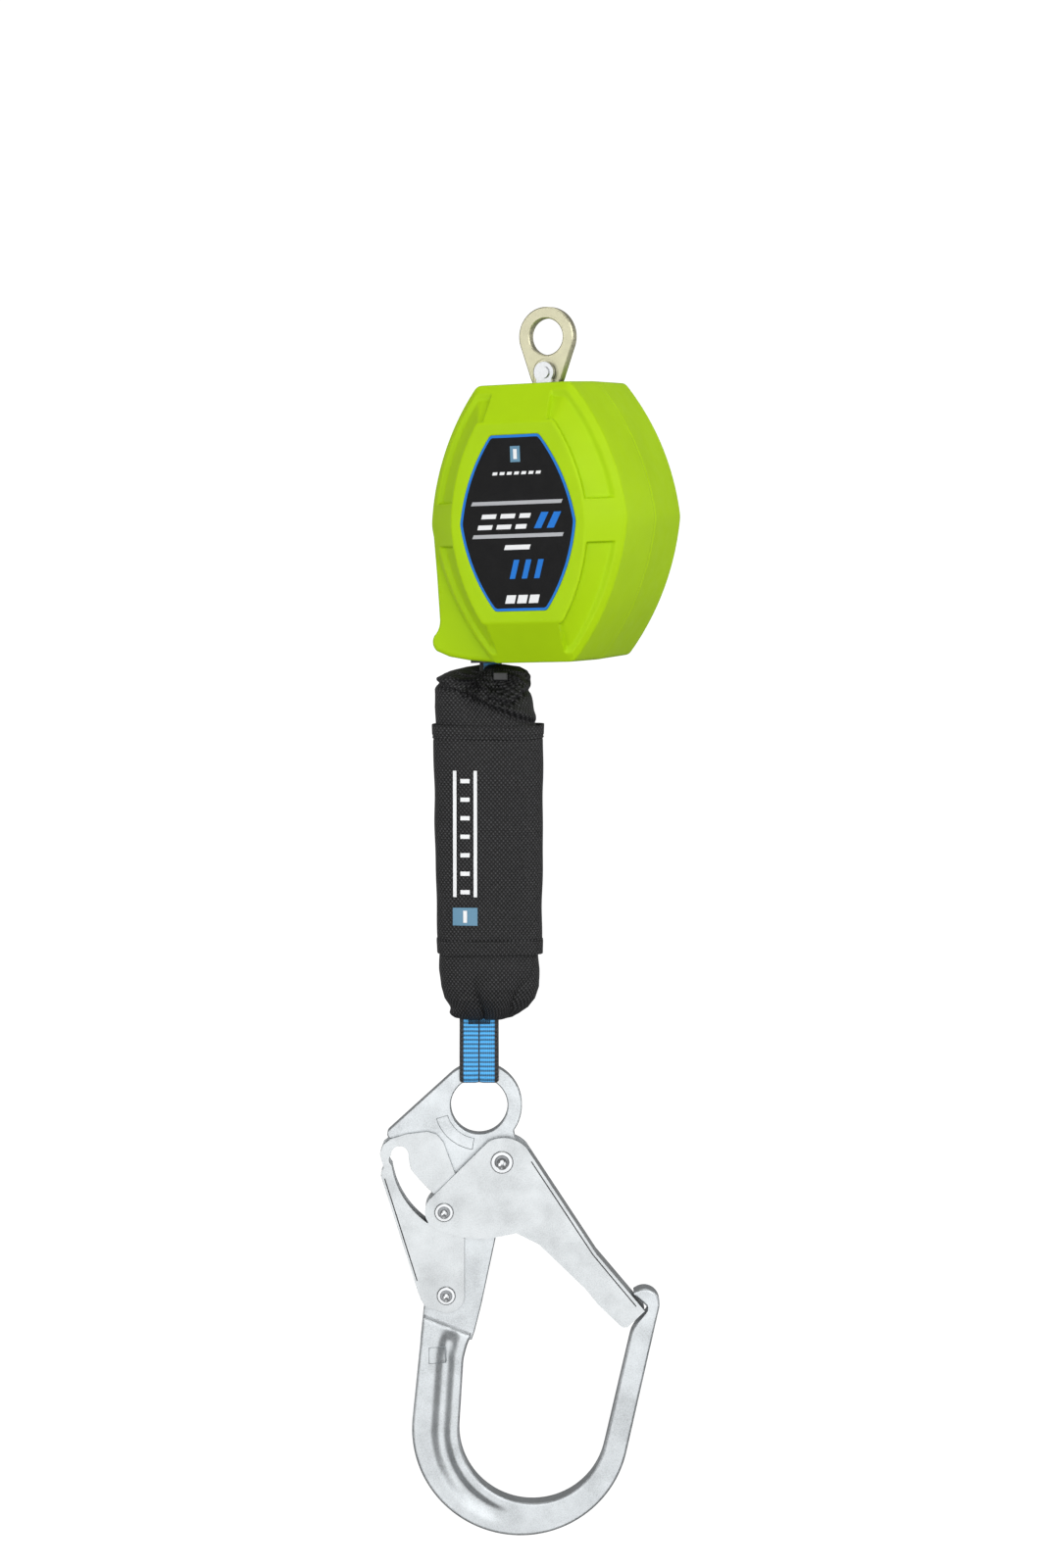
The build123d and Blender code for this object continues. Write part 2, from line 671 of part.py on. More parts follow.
# ---------------------------------------------------------------- power spring
SPRING_T = 0.6
SPRING_PITCH = 1.5
SPRING_HALF_TURNS = 30
ARBOR_R = 12.7
with BuildPart() as spring_arbor:
    with BuildSketch(front_on(SPRING_Y[1])):
        with Locations(AXLE):
            Circle(ARBOR_R)
            Circle(SHAFT_R, mode=Mode.SUBTRACT)
    extrude(amount=SPRING_Y[1] - SPRING_Y[0])
keep(spring_arbor, "spring_arbor")

with BuildPart() as power_spring:
    with BuildSketch(front_on(SPRING_Y[1])):
        with BuildLine():
            spiral_strip(AXLE, SPRING_R, SPRING_T, SPRING_PITCH, SPRING_HALF_TURNS, flip=-1)
        make_face()
    extrude(amount=SPRING_Y[1] - SPRING_Y[0])
keep(power_spring, "power_spring")

CASE_BASE_T = 1.4
with BuildPart() as spring_case:
    with BuildSketch(front_on(CASE_BACK)):
        with Locations(AXLE):
            Circle(CASE_R)
    extrude(amount=CASE_BACK - PLATE_REAR)
    with BuildSketch(front_on(CASE_BACK)):
        with Locations(AXLE):
            Circle(SPRING_R + 0.3)
    extrude(amount=CASE_BACK - PLATE_REAR - CASE_BASE_T, mode=Mode.SUBTRACT)
    with BuildSketch(front_on(CASE_BACK)):
        with Locations(AXLE):
            Circle(SHAFT_R + 2.5)
            with PolarLocations(37.7, 4, start_angle=45):
                Circle(0.8)
    extrude(amount=CASE_BACK - PLATE_REAR, mode=Mode.SUBTRACT)
keep(spring_case, "spring_case")

COVER_T = 1.4
with BuildPart() as spring_cover:
    with BuildSketch(front_on(CASE_BACK + COVER_T)):
        with Locations(AXLE):
            Circle(CASE_R)
            with PolarLocations(37.7, 4, start_angle=45):
                Circle(0.8, mode=Mode.SUBTRACT)
    extrude(amount=COVER_T)
keep(spring_cover, "spring_cover")

with BuildPart() as spring_cover_screws:
    with BuildSketch(front_on(CASE_BACK + COVER_T)):
        with Locations(AXLE):
            with PolarLocations(37.7, 4, start_angle=45):
                Circle(0.8)
    extrude(amount=CASE_BACK + COVER_T - PLATE_REAR)
    with BuildSketch(front_on(CASE_BACK + COVER_T + 0.8)):
        with Locations(AXLE):
            with PolarLocations(37.7, 4, start_angle=45):
                Circle(1.3)
    extrude(amount=0.8)
keep(spring_cover_screws, "spring_cover_screws")

# ---------------------------------------------------------------- lifeline web
STUB_END = HANG_Z - 10
roll_x = WEB_T / 2 - ROLL_R
with BuildPart() as lifeline_web:
    with BuildSketch(facing(WEB_W / 2)):
        with BuildLine():
            FilletPolyline(hung(roll_x, SHELL_MID), hung(roll_x, SHELL_MID - 14),
                           hung(WEB_X, SHELL_BOTTOM + 8), (LINE_X, STUB_END), radius=50)
        trace(line_width=WEB_T)
    extrude(amount=WEB_W)
keep(lifeline_web, "lifeline_web")

# ---------------------------------------------------------------- energy absorber
# height, centre beside the lifeline, width, depth of the cover's cross-sections, top to bottom
COVER_SECTIONS = [
    (-169.6, -3.0, 9, 15), (-173.6, -3.5, 32, 22), (-178.5, -4.0, 45, 26), (-186, -3.0, 53, 30),
    (-197, -1.4, 54.2, 30.4), (-320, -0.6, 51.4, 28.8), (-336, -1.0, 50, 28), (-346, -2.5, 42, 25),
    (COVER_BOTTOM, -3.4, 32, 20),
]
CLOTH = 2.0


def cover_bulk(thin, sections):
    """The cover's bulk, drawn in by thin all round."""
    with BuildPart() as bulk:
        for z, u, wide, deep in sections:
            with BuildSketch(level(z, u)):
                RectangleRounded(wide - 2 * thin, deep - 2 * thin, (min(wide, deep) - 2 * thin) * 0.42)
        loft(ruled=True)
    return bulk.part


with BuildPart() as absorber_cover:
    add(cover_bulk(0, COVER_SECTIONS))
    add(cover_bulk(CLOTH, COVER_SECTIONS[3:8]), mode=Mode.SUBTRACT)
    with BuildSketch(Plane.XY.offset(COVER_SECTIONS[0][0] + 1)):
        with Locations((LINE_X, 0)):
            Rectangle(6, WEB_W + 4)
    extrude(amount=-20, mode=Mode.SUBTRACT)
    with BuildSketch(level(COVER_BOTTOM - 1, RING_U)):
        Rectangle(21, 8)
    extrude(amount=12, mode=Mode.SUBTRACT)
keep(absorber_cover, "absorber_cover")

with BuildPart() as absorber_sleeve:
    for z, u, wide, deep in ((SLEEVE_TOP, -1.4, 58, SLEEVE_D), (SLEEVE_BOTTOM, -0.6, 55, SLEEVE_D - 1.6)):
        with BuildSketch(level(z, u)):
            RectangleRounded(wide, deep, deep * 0.42)
    loft(ruled=True)
    for z, u, wide, deep in ((SLEEVE_TOP, -1.4, 58, SLEEVE_D), (SLEEVE_BOTTOM, -0.6, 55, SLEEVE_D - 1.6)):
        with BuildSketch(level(z, u)):
            RectangleRounded(wide - 2.4, deep - 2.0, (deep - 2.0) * 0.42)
    loft(ruled=True, mode=Mode.SUBTRACT)
keep(absorber_sleeve, "absorber_sleeve")

with BuildPart() as absorber_pack:
    with BuildSketch(level(SLEEVE_TOP + 6, -1.2)):
        RectangleRounded(43, 19, 4)
    extrude(amount=SLEEVE_BOTTOM - SLEEVE_TOP - 8)
keep(absorber_pack, "absorber_pack")

with BuildPart() as cable_tie:
    with BuildSketch(hook_plane(12.6)):
        with Locations((5.0 - RING_U, -173.4 - RING_Z)):
            Rectangle(7.5, 4.5)
    extrude(amount=3.2)
    chamfer(cable_tie.edges(), 0.5)
keep(cable_tie, "cable_tie")

LOOP_W = 20.0
LOOP_T = 3.3
LOOP_TOP = COVER_BOTTOM + 10
LOOP_LOW = RING_Z + RING_HOLE_R - 0.4 - LOOP_T / 2
LEG = 1.75
SPREAD = 6.9
side_view = Plane(origin=(RING_AT[0], RING_AT[1], 0), x_dir=TURN_OUT, z_dir=(-TURN_X[0], -TURN_X[1], 0))
with BuildPart() as hook_web_loop:
    with BuildSketch(side_view.offset(-LOOP_W / 2)):
        with BuildLine():
            FilletPolyline(
                (-LEG, LOOP_TOP), (-LEG, COVER_BOTTOM - 5), (-SPREAD, COVER_BOTTOM - 19),
                (-SPREAD, LOOP_LOW), (SPREAD, LOOP_LOW), (SPREAD, COVER_BOTTOM - 19),
                (LEG, COVER_BOTTOM - 5), (LEG, LOOP_TOP), radius=[8, 8, 4, 4, 8, 8],
            )
        trace(line_width=LOOP_T)
    extrude(amount=LOOP_W)
    # the fold gives way to the ring's bar, with room to turn round it
    with BuildSketch(hook_plane(UPPER_HALF + 0.4)):
        Circle(RING_R + 0.5)
        Circle(RING_HOLE_R - 0.4, mode=Mode.SUBTRACT)
    extrude(amount=-2 * UPPER_HALF - 0.8, mode=Mode.SUBTRACT)
keep(hook_web_loop, "hook_web_loop")

with BuildPart() as loop_stitching:
    for out in (LEG + LOOP_T / 2, -LEG - LOOP_T / 2 - 0.5):
        with BuildSketch(hook_plane(out)):
            with Locations((0, COVER_BOTTOM - 2.2 - RING_Z)):
                Rectangle(11, 2.0)
        extrude(amount=0.5)
keep(loop_stitching, "loop_stitching")

# ---------------------------------------------------------------- snap hook
BOWL_OUT = (21.5, -171.5)      # centres and radii of the bowl's outer and inner rounds
BOWL_OUT_R = 57.0
BOWL_IN = (28.0, -172.5)
BOWL_IN_R = 38.5
NECK_R = 11.5                  # body round the gate's rivet
PATH_R = 34.5                  # body edge beside the cross pin's path, about the same rivet


def blank_outline():
    """The forged blank without its ring: wing, neck, back, bowl and nose."""
    Polyline((18, -15), (-15.1, 16.4), (-46.8, -12.6))
    ThreePointArc((-46.8, -12.6), (-48.0, -15.4), (-46.2, -17.6))
    Line((-46.2, -17.6), (-21.0, -18.6))
    ThreePointArc((-21.0, -18.6), (GATE_PIVOT[0] - PATH_R, GATE_PIVOT[1] - 4), (-14.6, -51.0))
    Polyline((-14.6, -51.0), (-13.2, -58), (-18.8, -74), (-25.4, -90), (-29.3, -108), (-35.1, -165.1))
    ThreePointArc((-35.1, -165.1), (BOWL_OUT[0], BOWL_OUT[1] - BOWL_OUT_R), (77.3, -183.4))
    Line((77.3, -183.4), (94.4, -106))
    ThreePointArc((94.4, -106), (90.3, -97.3), (80.3, -99))
    Polyline((80.3, -99), (87.8, -105.2), (88.6, -108.6), (82.4, -115), (79.5, -120), (65.5, -181.2))
    ThreePointArc((65.5, -181.2), (BOWL_IN[0], BOWL_IN[1] - BOWL_IN_R), (-10.4, -168))
    Line((-10.4, -168), (-8.3, -133.8))
    ThreePointArc((-8.3, -133.8), (-6.3, -126.2), (-2.5, -119.7))
    Polyline((-2.5, -119.7), (1.1, -105.2), (8.8, -68.9), (10.5, -58), (21.5, -35), (18, -15))


out_of_hook = Axis(RING_AT, TURN_OUT)
with BuildPart() as hook_body:
    with BuildSketch(hook_plane(UPPER_HALF)):
        with BuildLine():
            blank_outline()
        make_face()
        Circle(RING_R)
        with Locations(GATE_PIVOT):
            Circle(NECK_R)
        Circle(RING_HOLE_R, mode=Mode.SUBTRACT)
    extrude(amount=-2 * UPPER_HALF)
    chamfer(hook_body.faces().sort_by(out_of_hook)[0].edges(), 1.3)
    chamfer(hook_body.faces().sort_by(out_of_hook)[-1].edges(), 1.3)
    with BuildSketch(hook_plane(FORGE_HALF)):
        with BuildLine():
            blank_outline()
        make_face()
        with BuildLine():
            Polyline((-60, -102.1), (-9.6, -115), (0, -122), (50, -122), (50, -60), (120, -60),
                     (120, -260), (-60, -260), close=True)
        make_face(mode=Mode.INTERSECT)
    extrude(amount=-2 * FORGE_HALF)
    chamfer(hook_body.faces().sort_by(out_of_hook)[0].edges(), 1.5)
    chamfer(hook_body.faces().sort_by(out_of_hook)[-1].edges(), 1.5)
    with BuildSketch(hook_plane(FORGE_HALF)):
        with Locations(GATE_PIVOT, LEVER_PIVOT):
            Circle(RIVET_R + FIT)
    extrude(amount=-2 * FORGE_HALF, mode=Mode.SUBTRACT)
    # pocket for the lever's spring
    with BuildSketch(hook_plane(UPPER_HALF)):
        with Locations(LEVER_PIVOT):
            Circle(7.5)
    extrude(amount=-2.2, mode=Mode.SUBTRACT)
keep(hook_body, "hook_body")


def both_cheeks(inner):
    """Where the two cheeks of a folded part start."""
    return (inner, -inner - SHEET)


with BuildPart() as gate:
    for out in both_cheeks(GATE_IN):
        with BuildSketch(hook_plane(out)):
            with BuildLine():
                ThreePointArc((-24.5, -47.4), (-28.3, -55.5), (-22.3, -64.2))
                ThreePointArc((-22.3, -64.2), (-7.0, -68.9), (9.3, -68.6))
                Polyline((9.3, -68.6), (19.5, -66.5), (31.3, -72.5), (55.8, -96.4), (61.9, -104.1),
                         (74.6, -116.4), (77.6, -116.4), (86.5, -107.8), (68, -85.5), (61.2, -77.6),
                         (24.6, -21.4))
                ThreePointArc((24.6, -21.4), (14.2, -16.3), (4.8, -18.3))
                Line((4.8, -18.3), (-24.5, -47.4))
            make_face()
            with Locations(GATE_PIVOT):
                Circle(RIVET_R, mode=Mode.SUBTRACT)
            with Locations(CROSS_PIN):
                Circle(CROSS_PIN_R, mode=Mode.SUBTRACT)
        extrude(amount=SHEET)
    with BuildSketch(hook_plane(GATE_IN + SHEET)):
        with BuildLine():
            Polyline((86.5, -107.8), (68, -85.5), (61.2, -77.6), (26.8, -24.8), (25.2, -26.0),
                     (59.6, -78.8), (66.4, -86.7), (84.9, -109.2), close=True)
        make_face()
    extrude(amount=-2 * (GATE_IN + SHEET))
keep(gate, "gate")


def rivet(spot, half, radius, head_r):
    """A rivet through both cheeks with a domed head on each side."""
    with BuildPart() as piece:
        with BuildSketch(hook_plane(half)):
            with Locations(spot):
                Circle(radius)
        extrude(amount=-2 * half)
        for out in (half, -half - HEAD_T):
            with BuildSketch(hook_plane(out)):
                with Locations(spot):
                    Circle(head_r)
            extrude(amount=HEAD_T)
        chamfer(piece.faces().sort_by(out_of_hook)[0].edges(), 0.5)
        chamfer(piece.faces().sort_by(out_of_hook)[-1].edges(), 0.5)
    return piece


keep(rivet(GATE_PIVOT, GATE_IN + SHEET, RIVET_R, 5.9), "gate_rivet")
keep(rivet(CROSS_PIN, GATE_IN + SHEET, CROSS_PIN_R, 5.0), "cross_pin")
keep(rivet(LEVER_PIVOT, LEVER_IN + SHEET, RIVET_R, 4.9), "lever_rivet")


def turned(spot, centre, degrees):
    """The spot after this many degrees of clockwise turn about the centre."""
    across, up = spot[0] - centre[0], spot[1] - centre[1]
    c, s = cos(radians(degrees)), sin(radians(degrees))
    return (centre[0] + across * c + up * s, centre[1] - across * s + up * c)


PIN_STEPS = 8
pin_path = []
for step in range(PIN_STEPS + 1):
    share = step / PIN_STEPS
    swung = turned(CROSS_PIN, GATE_PIVOT, share * GATE_TURN)
    pin_path.append(turned(swung, LEVER_PIVOT, -share * LEVER_TURN))

with BuildPart() as lock_lever:
    for out in both_cheeks(LEVER_IN):
        with BuildSketch(hook_plane(out)):
            with BuildLine():
                Polyline((-22.2, -14.7), (-18.7, -18.8), (-12.6, -35.3), (-7.8, -68.4), (-7.8, -100.0))
                ThreePointArc((-7.8, -100.0), (-10.8, -107.0), (-17.5, -109.4))
                Polyline((-17.5, -109.4), (-28.0, -106.2), (-30.6, -102.0), (-51.3, -35.3),
                         (-49.8, -32.3), (-51.8, -25.0), (-50.0, -20.2), (-46.2, -17.2), (-38.0, -14.6),
                         (-27.0, -13.2), (-22.2, -14.7))
            make_face()
            with Locations(LEVER_PIVOT):
                Circle(RIVET_R, mode=Mode.SUBTRACT)
            # the window: the cross pin's path, opened out to a bowed slot
            for here, there in zip(pin_path, pin_path[1:]):
                with BuildSketch(mode=Mode.PRIVATE) as stretch:
                    with Locations(here, there):
                        Circle(CROSS_PIN_R + 0.5)
                    make_hull()
                add(stretch.sketch, mode=Mode.SUBTRACT)
            with BuildLine():
                ThreePointArc((-46.0, -25.5), (-42.2, -43.0), (-27.0, -61.6))
                Line((-27.0, -61.6), (-22.0, -55.0))
                ThreePointArc((-22.0, -55.0), (-32.5, -41.5), (-36.9, -25.5))
                ThreePointArc((-36.9, -25.5), (-41.4, -20.9), (-46.0, -25.5))
            make_face(mode=Mode.SUBTRACT)
        extrude(amount=SHEET)
    with BuildSketch(hook_plane(LEVER_IN + SHEET)):
        with BuildLine():
            Polyline((-51.3, -36.5), (-31.6, -99.5), (-29.9, -98.9), (-49.5, -36.0), close=True)
        make_face()
    extrude(amount=-2 * (LEVER_IN + SHEET))
keep(lock_lever, "lock_lever")

with BuildPart() as gate_spring:
    with BuildSketch(hook_plane(GATE_IN - 0.2)):
        with Locations(GATE_PIVOT):
            Circle(RIVET_R + 2.2)
            Circle(RIVET_R + 0.6, mode=Mode.SUBTRACT)
            with Locations((12, -12)):
                Rectangle(24, 1.4, rotation=-58)
    extrude(amount=-1.8)
keep(gate_spring, "gate_spring")

with BuildPart() as lever_spring:
    with BuildSketch(hook_plane(UPPER_HALF - 0.2)):
        with Locations(LEVER_PIVOT):
            Circle(RIVET_R + 2.2)
            Circle(RIVET_R + 0.6, mode=Mode.SUBTRACT)
    extrude(amount=-1.8)
keep(lever_spring, "lever_spring")

print(len(finished), "nodes")
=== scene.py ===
"""The looks of a self retracting lifeline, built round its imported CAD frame."""

import json
import math
from contextlib import contextmanager

import bmesh
import bpy
import numpy as np
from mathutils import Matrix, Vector


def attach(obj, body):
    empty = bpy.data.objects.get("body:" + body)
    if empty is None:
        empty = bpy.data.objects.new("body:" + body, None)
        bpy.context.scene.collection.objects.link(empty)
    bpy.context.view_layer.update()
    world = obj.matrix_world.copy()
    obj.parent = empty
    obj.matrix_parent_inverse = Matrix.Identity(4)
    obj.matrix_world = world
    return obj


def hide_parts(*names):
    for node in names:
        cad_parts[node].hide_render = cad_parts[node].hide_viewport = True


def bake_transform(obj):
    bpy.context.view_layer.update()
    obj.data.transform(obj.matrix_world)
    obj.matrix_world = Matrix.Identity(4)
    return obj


MM = 0.001

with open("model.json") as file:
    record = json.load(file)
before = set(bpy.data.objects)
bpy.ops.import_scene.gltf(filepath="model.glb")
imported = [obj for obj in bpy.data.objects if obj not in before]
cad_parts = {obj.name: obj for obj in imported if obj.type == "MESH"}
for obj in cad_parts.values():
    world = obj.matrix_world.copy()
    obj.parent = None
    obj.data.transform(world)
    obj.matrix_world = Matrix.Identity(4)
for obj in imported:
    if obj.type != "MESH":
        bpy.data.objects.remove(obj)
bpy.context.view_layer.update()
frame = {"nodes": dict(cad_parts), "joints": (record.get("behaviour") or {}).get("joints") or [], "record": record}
record = frame["record"]
joints = {j["name"]: j for j in frame["joints"]}


# ---- places, in mm
def place_of(joint):
    return Vector(joints[joint]["pos_m"]) / MM


PIN = place_of("eye_pivot")
SHAFT = place_of("drum_spin")
HANG = place_of("absorber_swing")
RING = place_of("hook_swing")
OUT = Vector(joints["hook_swing"]["axis"]).normalized()      # out of the hook's front
ACROSS = Vector((-OUT.y, OUT.x, 0))                           # to the right across the hook
LEAN = math.atan2(SHAFT.x - PIN.x, PIN.z - SHAFT.z)            # the housing leans by this about the pin


def hung(x, y, z):
    """A point given in the housing's own upright frame."""
    c, s = math.cos(LEAN), math.sin(LEAN)
    dz = z - PIN.z
    return Vector((x * c - dz * s, y, PIN.z + x * s + dz * c)) * MM


def on_hook(u, out, z):
    """A point of the hook: across, out of the front and up from the ring's centre."""
    return (RING + ACROSS * u + OUT * out + Vector((0, 0, z))) * MM


def on_line(u, out, z):
    """A point by the hanging line: across and out from it, at absolute height z."""
    return (Vector((HANG.x, 0, z)) + ACROSS * u + OUT * out) * MM


# ---- mesh helpers
def linked(name, data):
    """A new object in the scene."""
    obj = bpy.data.objects.new(name, data)
    bpy.context.scene.collection.objects.link(obj)
    return obj


def piece(name, points, faces, material=None):
    """A new object from its points and faces."""
    mesh = bpy.data.meshes.new(name)
    mesh.from_pydata([tuple(p) for p in points], [], faces)
    mesh.update()
    if material:
        mesh.materials.append(material)
    return linked(name, mesh)


def evaluated(obj):
    """The mesh that an object's curve or modifiers make."""
    bpy.context.view_layer.update()
    graph = bpy.context.evaluated_depsgraph_get()
    return bpy.data.meshes.new_from_object(obj.evaluated_get(graph))


@contextmanager
def edited(mesh):
    """A mesh opened for editing, and written back afterwards."""
    bm = bmesh.new()
    bm.from_mesh(mesh)
    yield bm
    bm.to_mesh(mesh)
    bm.free()


def applied(obj):
    """Bakes an object's modifiers into its mesh."""
    mesh = evaluated(obj)
    obj.modifiers.clear()
    obj.data = mesh


def outward(obj):
    """Turns a closed mesh's faces to look out."""
    with edited(obj.data) as bm:
        bmesh.ops.recalc_face_normals(bm, faces=bm.faces)
    return obj


def boolean(obj, cutter, operation):
    """Cuts the cutter out of the object or joins it on, and removes the cutter."""
    outward(cutter)
    modifier = obj.modifiers.new("cut", "BOOLEAN")
    modifier.operation = operation
    modifier.solver = "EXACT"
    modifier.object = cutter
    applied(obj)
    bpy.data.objects.remove(cutter)


def crease(obj, degrees=32):
    """Smooth shading that breaks at edges sharper than this."""
    limit = math.radians(degrees)
    with edited(obj.data) as bm:
        bmesh.ops.recalc_face_normals(bm, faces=bm.faces)
        for face in bm.faces:
            face.smooth = True
        for edge in bm.edges:
            edge.smooth = len(edge.link_faces) == 2 and edge.calc_face_angle(0) < limit
    return obj


def even_normals(obj, degrees):
    """Keeps flat faces flat in shading, with their rounded edges smooth."""
    crease(obj, degrees)
    modifier = obj.modifiers.new("even", "WEIGHTED_NORMAL")
    modifier.keep_sharp = True
    modifier.weight = 100
    applied(obj)


def grid_faces(rows, columns, closed=True, start=0):
    """The faces between rows of points, with each row closed on itself or open."""
    faces = []
    for i in range(rows - 1):
        for j in range(columns if closed else columns - 1):
            k = (j + 1) % columns
            a = start + i * columns
            b = a + columns
            faces.append((a + j, a + k, b + k, b + j))
    return faces


def tube_faces(rows, columns):
    """The faces of a tube with a cap on each end."""
    last = (rows - 1) * columns
    caps = [tuple(reversed(range(columns))), tuple(last + i for i in range(columns))]
    return grid_faces(rows, columns) + caps


def joined(name, parts):
    """One piece out of several meshes, keeping their materials."""
    bm = bmesh.new()
    slots = []
    for part in parts:
        first = len(bm.faces)
        bm.from_mesh(part.data)
        bm.faces.ensure_lookup_table()
        for face in bm.faces[first:]:
            material = part.data.materials[face.material_index]
            if material not in slots:
                slots.append(material)
            face.material_index = slots.index(material)
    mesh = bpy.data.meshes.new(name)
    bm.to_mesh(mesh)
    bm.free()
    for material in slots:
        mesh.materials.append(material)
    for part in parts:
        bpy.data.objects.remove(part)
    return linked(name, mesh)


def running(points):
    """The running length along a line of points."""
    return np.concatenate([[0], np.cumsum(np.linalg.norm(np.diff(points, axis=0), axis=1))])


def sideways(path):
    """The direction to the left at each point of a flat path."""
    ahead = np.gradient(path, axis=0)
    ahead /= np.linalg.norm(ahead, axis=1, keepdims=True)
    return np.column_stack([-ahead[:, 1], ahead[:, 0]])


def drawn_in(loop, centre, by):
    """A loop with each point moved towards the centre by a distance."""
    reach = np.linalg.norm(loop - centre, axis=-1, keepdims=True)
    return centre + (loop - centre) * (1 - by / reach)


def arc(start, through, end, steps):
    """Points of the arc from start to end, without its end."""
    ax, ay = start
    bx, by = through
    cx, cy = end
    aa, bb, cc = (x * x + y * y for x, y in (start, through, end))
    d = 2 * (ax * (by - cy) + bx * (cy - ay) + cx * (ay - by))
    ux = (aa * (by - cy) + bb * (cy - ay) + cc * (ay - by)) / d
    uy = (aa * (cx - bx) + bb * (ax - cx) + cc * (bx - ax)) / d
    r = math.hypot(ax - ux, ay - uy)
    a0, a1, a2 = (math.atan2(y - uy, x - ux) for x, y in (start, through, end))
    turn = (a2 - a0) % math.tau
    if (a1 - a0) % math.tau > turn:
        turn -= math.tau
    return [(ux + r * math.cos(a0 + turn * i / steps), uy + r * math.sin(a0 + turn * i / steps))
            for i in range(steps)]


def circle(centre, radius, steps=48):
    return [(centre[0] + radius * math.cos(math.tau * i / steps),
             centre[1] + radius * math.sin(math.tau * i / steps)) for i in range(steps)]


def plate(name, outlines, half, round_r, segments):
    """A flat plate of the hook with rounded edges. The outlines are its edge and its holes."""
    curve = bpy.data.curves.new(name, "CURVE")
    curve.dimensions = "2D"
    curve.fill_mode = "BOTH"
    for loop in outlines:
        spline = curve.splines.new("POLY")
        spline.points.add(len(loop) - 1)
        for point, (x, y) in zip(spline.points, loop):
            point.co = (x, y, 0, 1)
        spline.use_cyclic_u = True
    curve.extrude = half - round_r
    curve.bevel_depth = round_r
    curve.bevel_resolution = segments
    curve.offset = -round_r
    holder = linked(name, curve)
    mesh = evaluated(holder)
    bpy.data.objects.remove(holder)
    for vertex in mesh.vertices:
        vertex.co = on_hook(vertex.co.x, vertex.co.z, vertex.co.y)
    with edited(mesh) as bm:
        bmesh.ops.remove_doubles(bm, verts=bm.verts, dist=0.00001)
        bmesh.ops.dissolve_degenerate(bm, edges=bm.edges, dist=0.00001)
    return crease(linked(name, mesh))


def softened(node, width, material, body, name):
    """A copy of a CAD node with its hard edges rounded off, to be shown in its place."""
    mesh = frame["nodes"][node].data.copy()
    with edited(mesh) as bm:
        bmesh.ops.remove_doubles(bm, verts=bm.verts, dist=0.000005)
        bmesh.ops.dissolve_limit(bm, angle_limit=math.radians(1.5), verts=bm.verts, edges=bm.edges)
    mesh.materials.clear()
    mesh.materials.append(MATERIALS[material])
    obj = linked(name, mesh)
    modifier = obj.modifiers.new("round", "BEVEL")
    modifier.width = width * MM
    modifier.segments = 3
    modifier.limit_method = "ANGLE"
    modifier.angle_limit = math.radians(25)
    modifier.use_clamp_overlap = True
    applied(obj)
    even_normals(obj, 45)
    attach(obj, body)
    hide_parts(node)


# ---- materials
class Shader:
    """A material's node tree, with short calls for the nodes used here."""

    def __init__(self, name, color, roughness, metallic=0.0, **sockets):
        self.material = bpy.data.materials.new(name)
        self.material.use_nodes = True
        self.tree = self.material.node_tree
        self.main = self.tree.nodes["Principled BSDF"]
        self.main.inputs["Base Color"].default_value = (*color, 1)
        self.main.inputs["Roughness"].default_value = roughness
        self.main.inputs["Metallic"].default_value = metallic
        for socket, value in sockets.items():
            self.main.inputs[socket.replace("_", " ")].default_value = value
        self.places = self.tree.nodes.new("ShaderNodeTexCoord").outputs

    def link(self, source, socket):
        """Feeds one of the shader's own sockets."""
        self.tree.links.new(source, self.main.inputs[socket])

    def node(self, kind, inputs, **settings):
        """A new node with its settings, and each input set to a value or fed by an output."""
        made = self.tree.nodes.new("ShaderNode" + kind)
        for key, value in settings.items():
            setattr(made, key, value)
        for socket, value in inputs.items():
            if isinstance(value, bpy.types.NodeSocket):
                self.tree.links.new(value, made.inputs[socket])
            else:
                made.inputs[socket].default_value = value
        return made

    def noise(self, scale, detail, rough=0.55):
        inputs = {"Scale": scale, "Detail": detail, "Roughness": rough, "Vector": self.places["Object"]}
        return self.node("TexNoise", inputs).outputs["Fac"]

    def wave(self, period, direction):
        """Bands across the direction, one to each period in metres."""
        inputs = {"Scale": WAVE_UNIT / period, "Vector": self.places["UV"]}
        made = self.node("TexWave", inputs, wave_type="BANDS", bands_direction=direction, wave_profile="SIN")
        return made.outputs["Fac"]

    def math(self, operation, a, b=0.0):
        return self.node("Math", {0: a, 1: b}, operation=operation).outputs[0]

    def mixed(self, a, b, share):
        """A share of one value and the rest of another."""
        return self.math("ADD", self.math("MULTIPLY", a, share), self.math("MULTIPLY", b, 1 - share))

    def ramp(self, source, stops):
        made = self.node("ValToRGB", {"Fac": source})
        elements = made.color_ramp.elements
        while len(elements) < len(stops):
            elements.new(0.5)
        for element, (at, color) in zip(elements, stops):
            element.position = at
            element.color = (*color, 1)
        return made.outputs["Color"]

    def roughness(self, source, low, high, from_low, from_high):
        """Roughness from low to high while the source goes over its own range."""
        inputs = {"Value": source, "From Min": from_low, "From Max": from_high, "To Min": low, "To Max": high}
        self.link(self.node("MapRange", inputs).outputs["Result"], "Roughness")

    def bump(self, source, distance, strength, under=None):
        inputs = {"Height": source, "Distance": distance, "Strength": strength}
        if under is not None:
            inputs["Normal"] = under
        normal = self.node("Bump", inputs).outputs["Normal"]
        self.link(normal, "Normal")
        return normal


WAVE_UNIT = math.tau / 20       # a wave texture's period at a scale of 1


def tint(color, factor):
    return tuple(min(1.0, c * factor) for c in color)


COLOR_DRIFT = 0.05              # how far moulded plastic strays from its colour


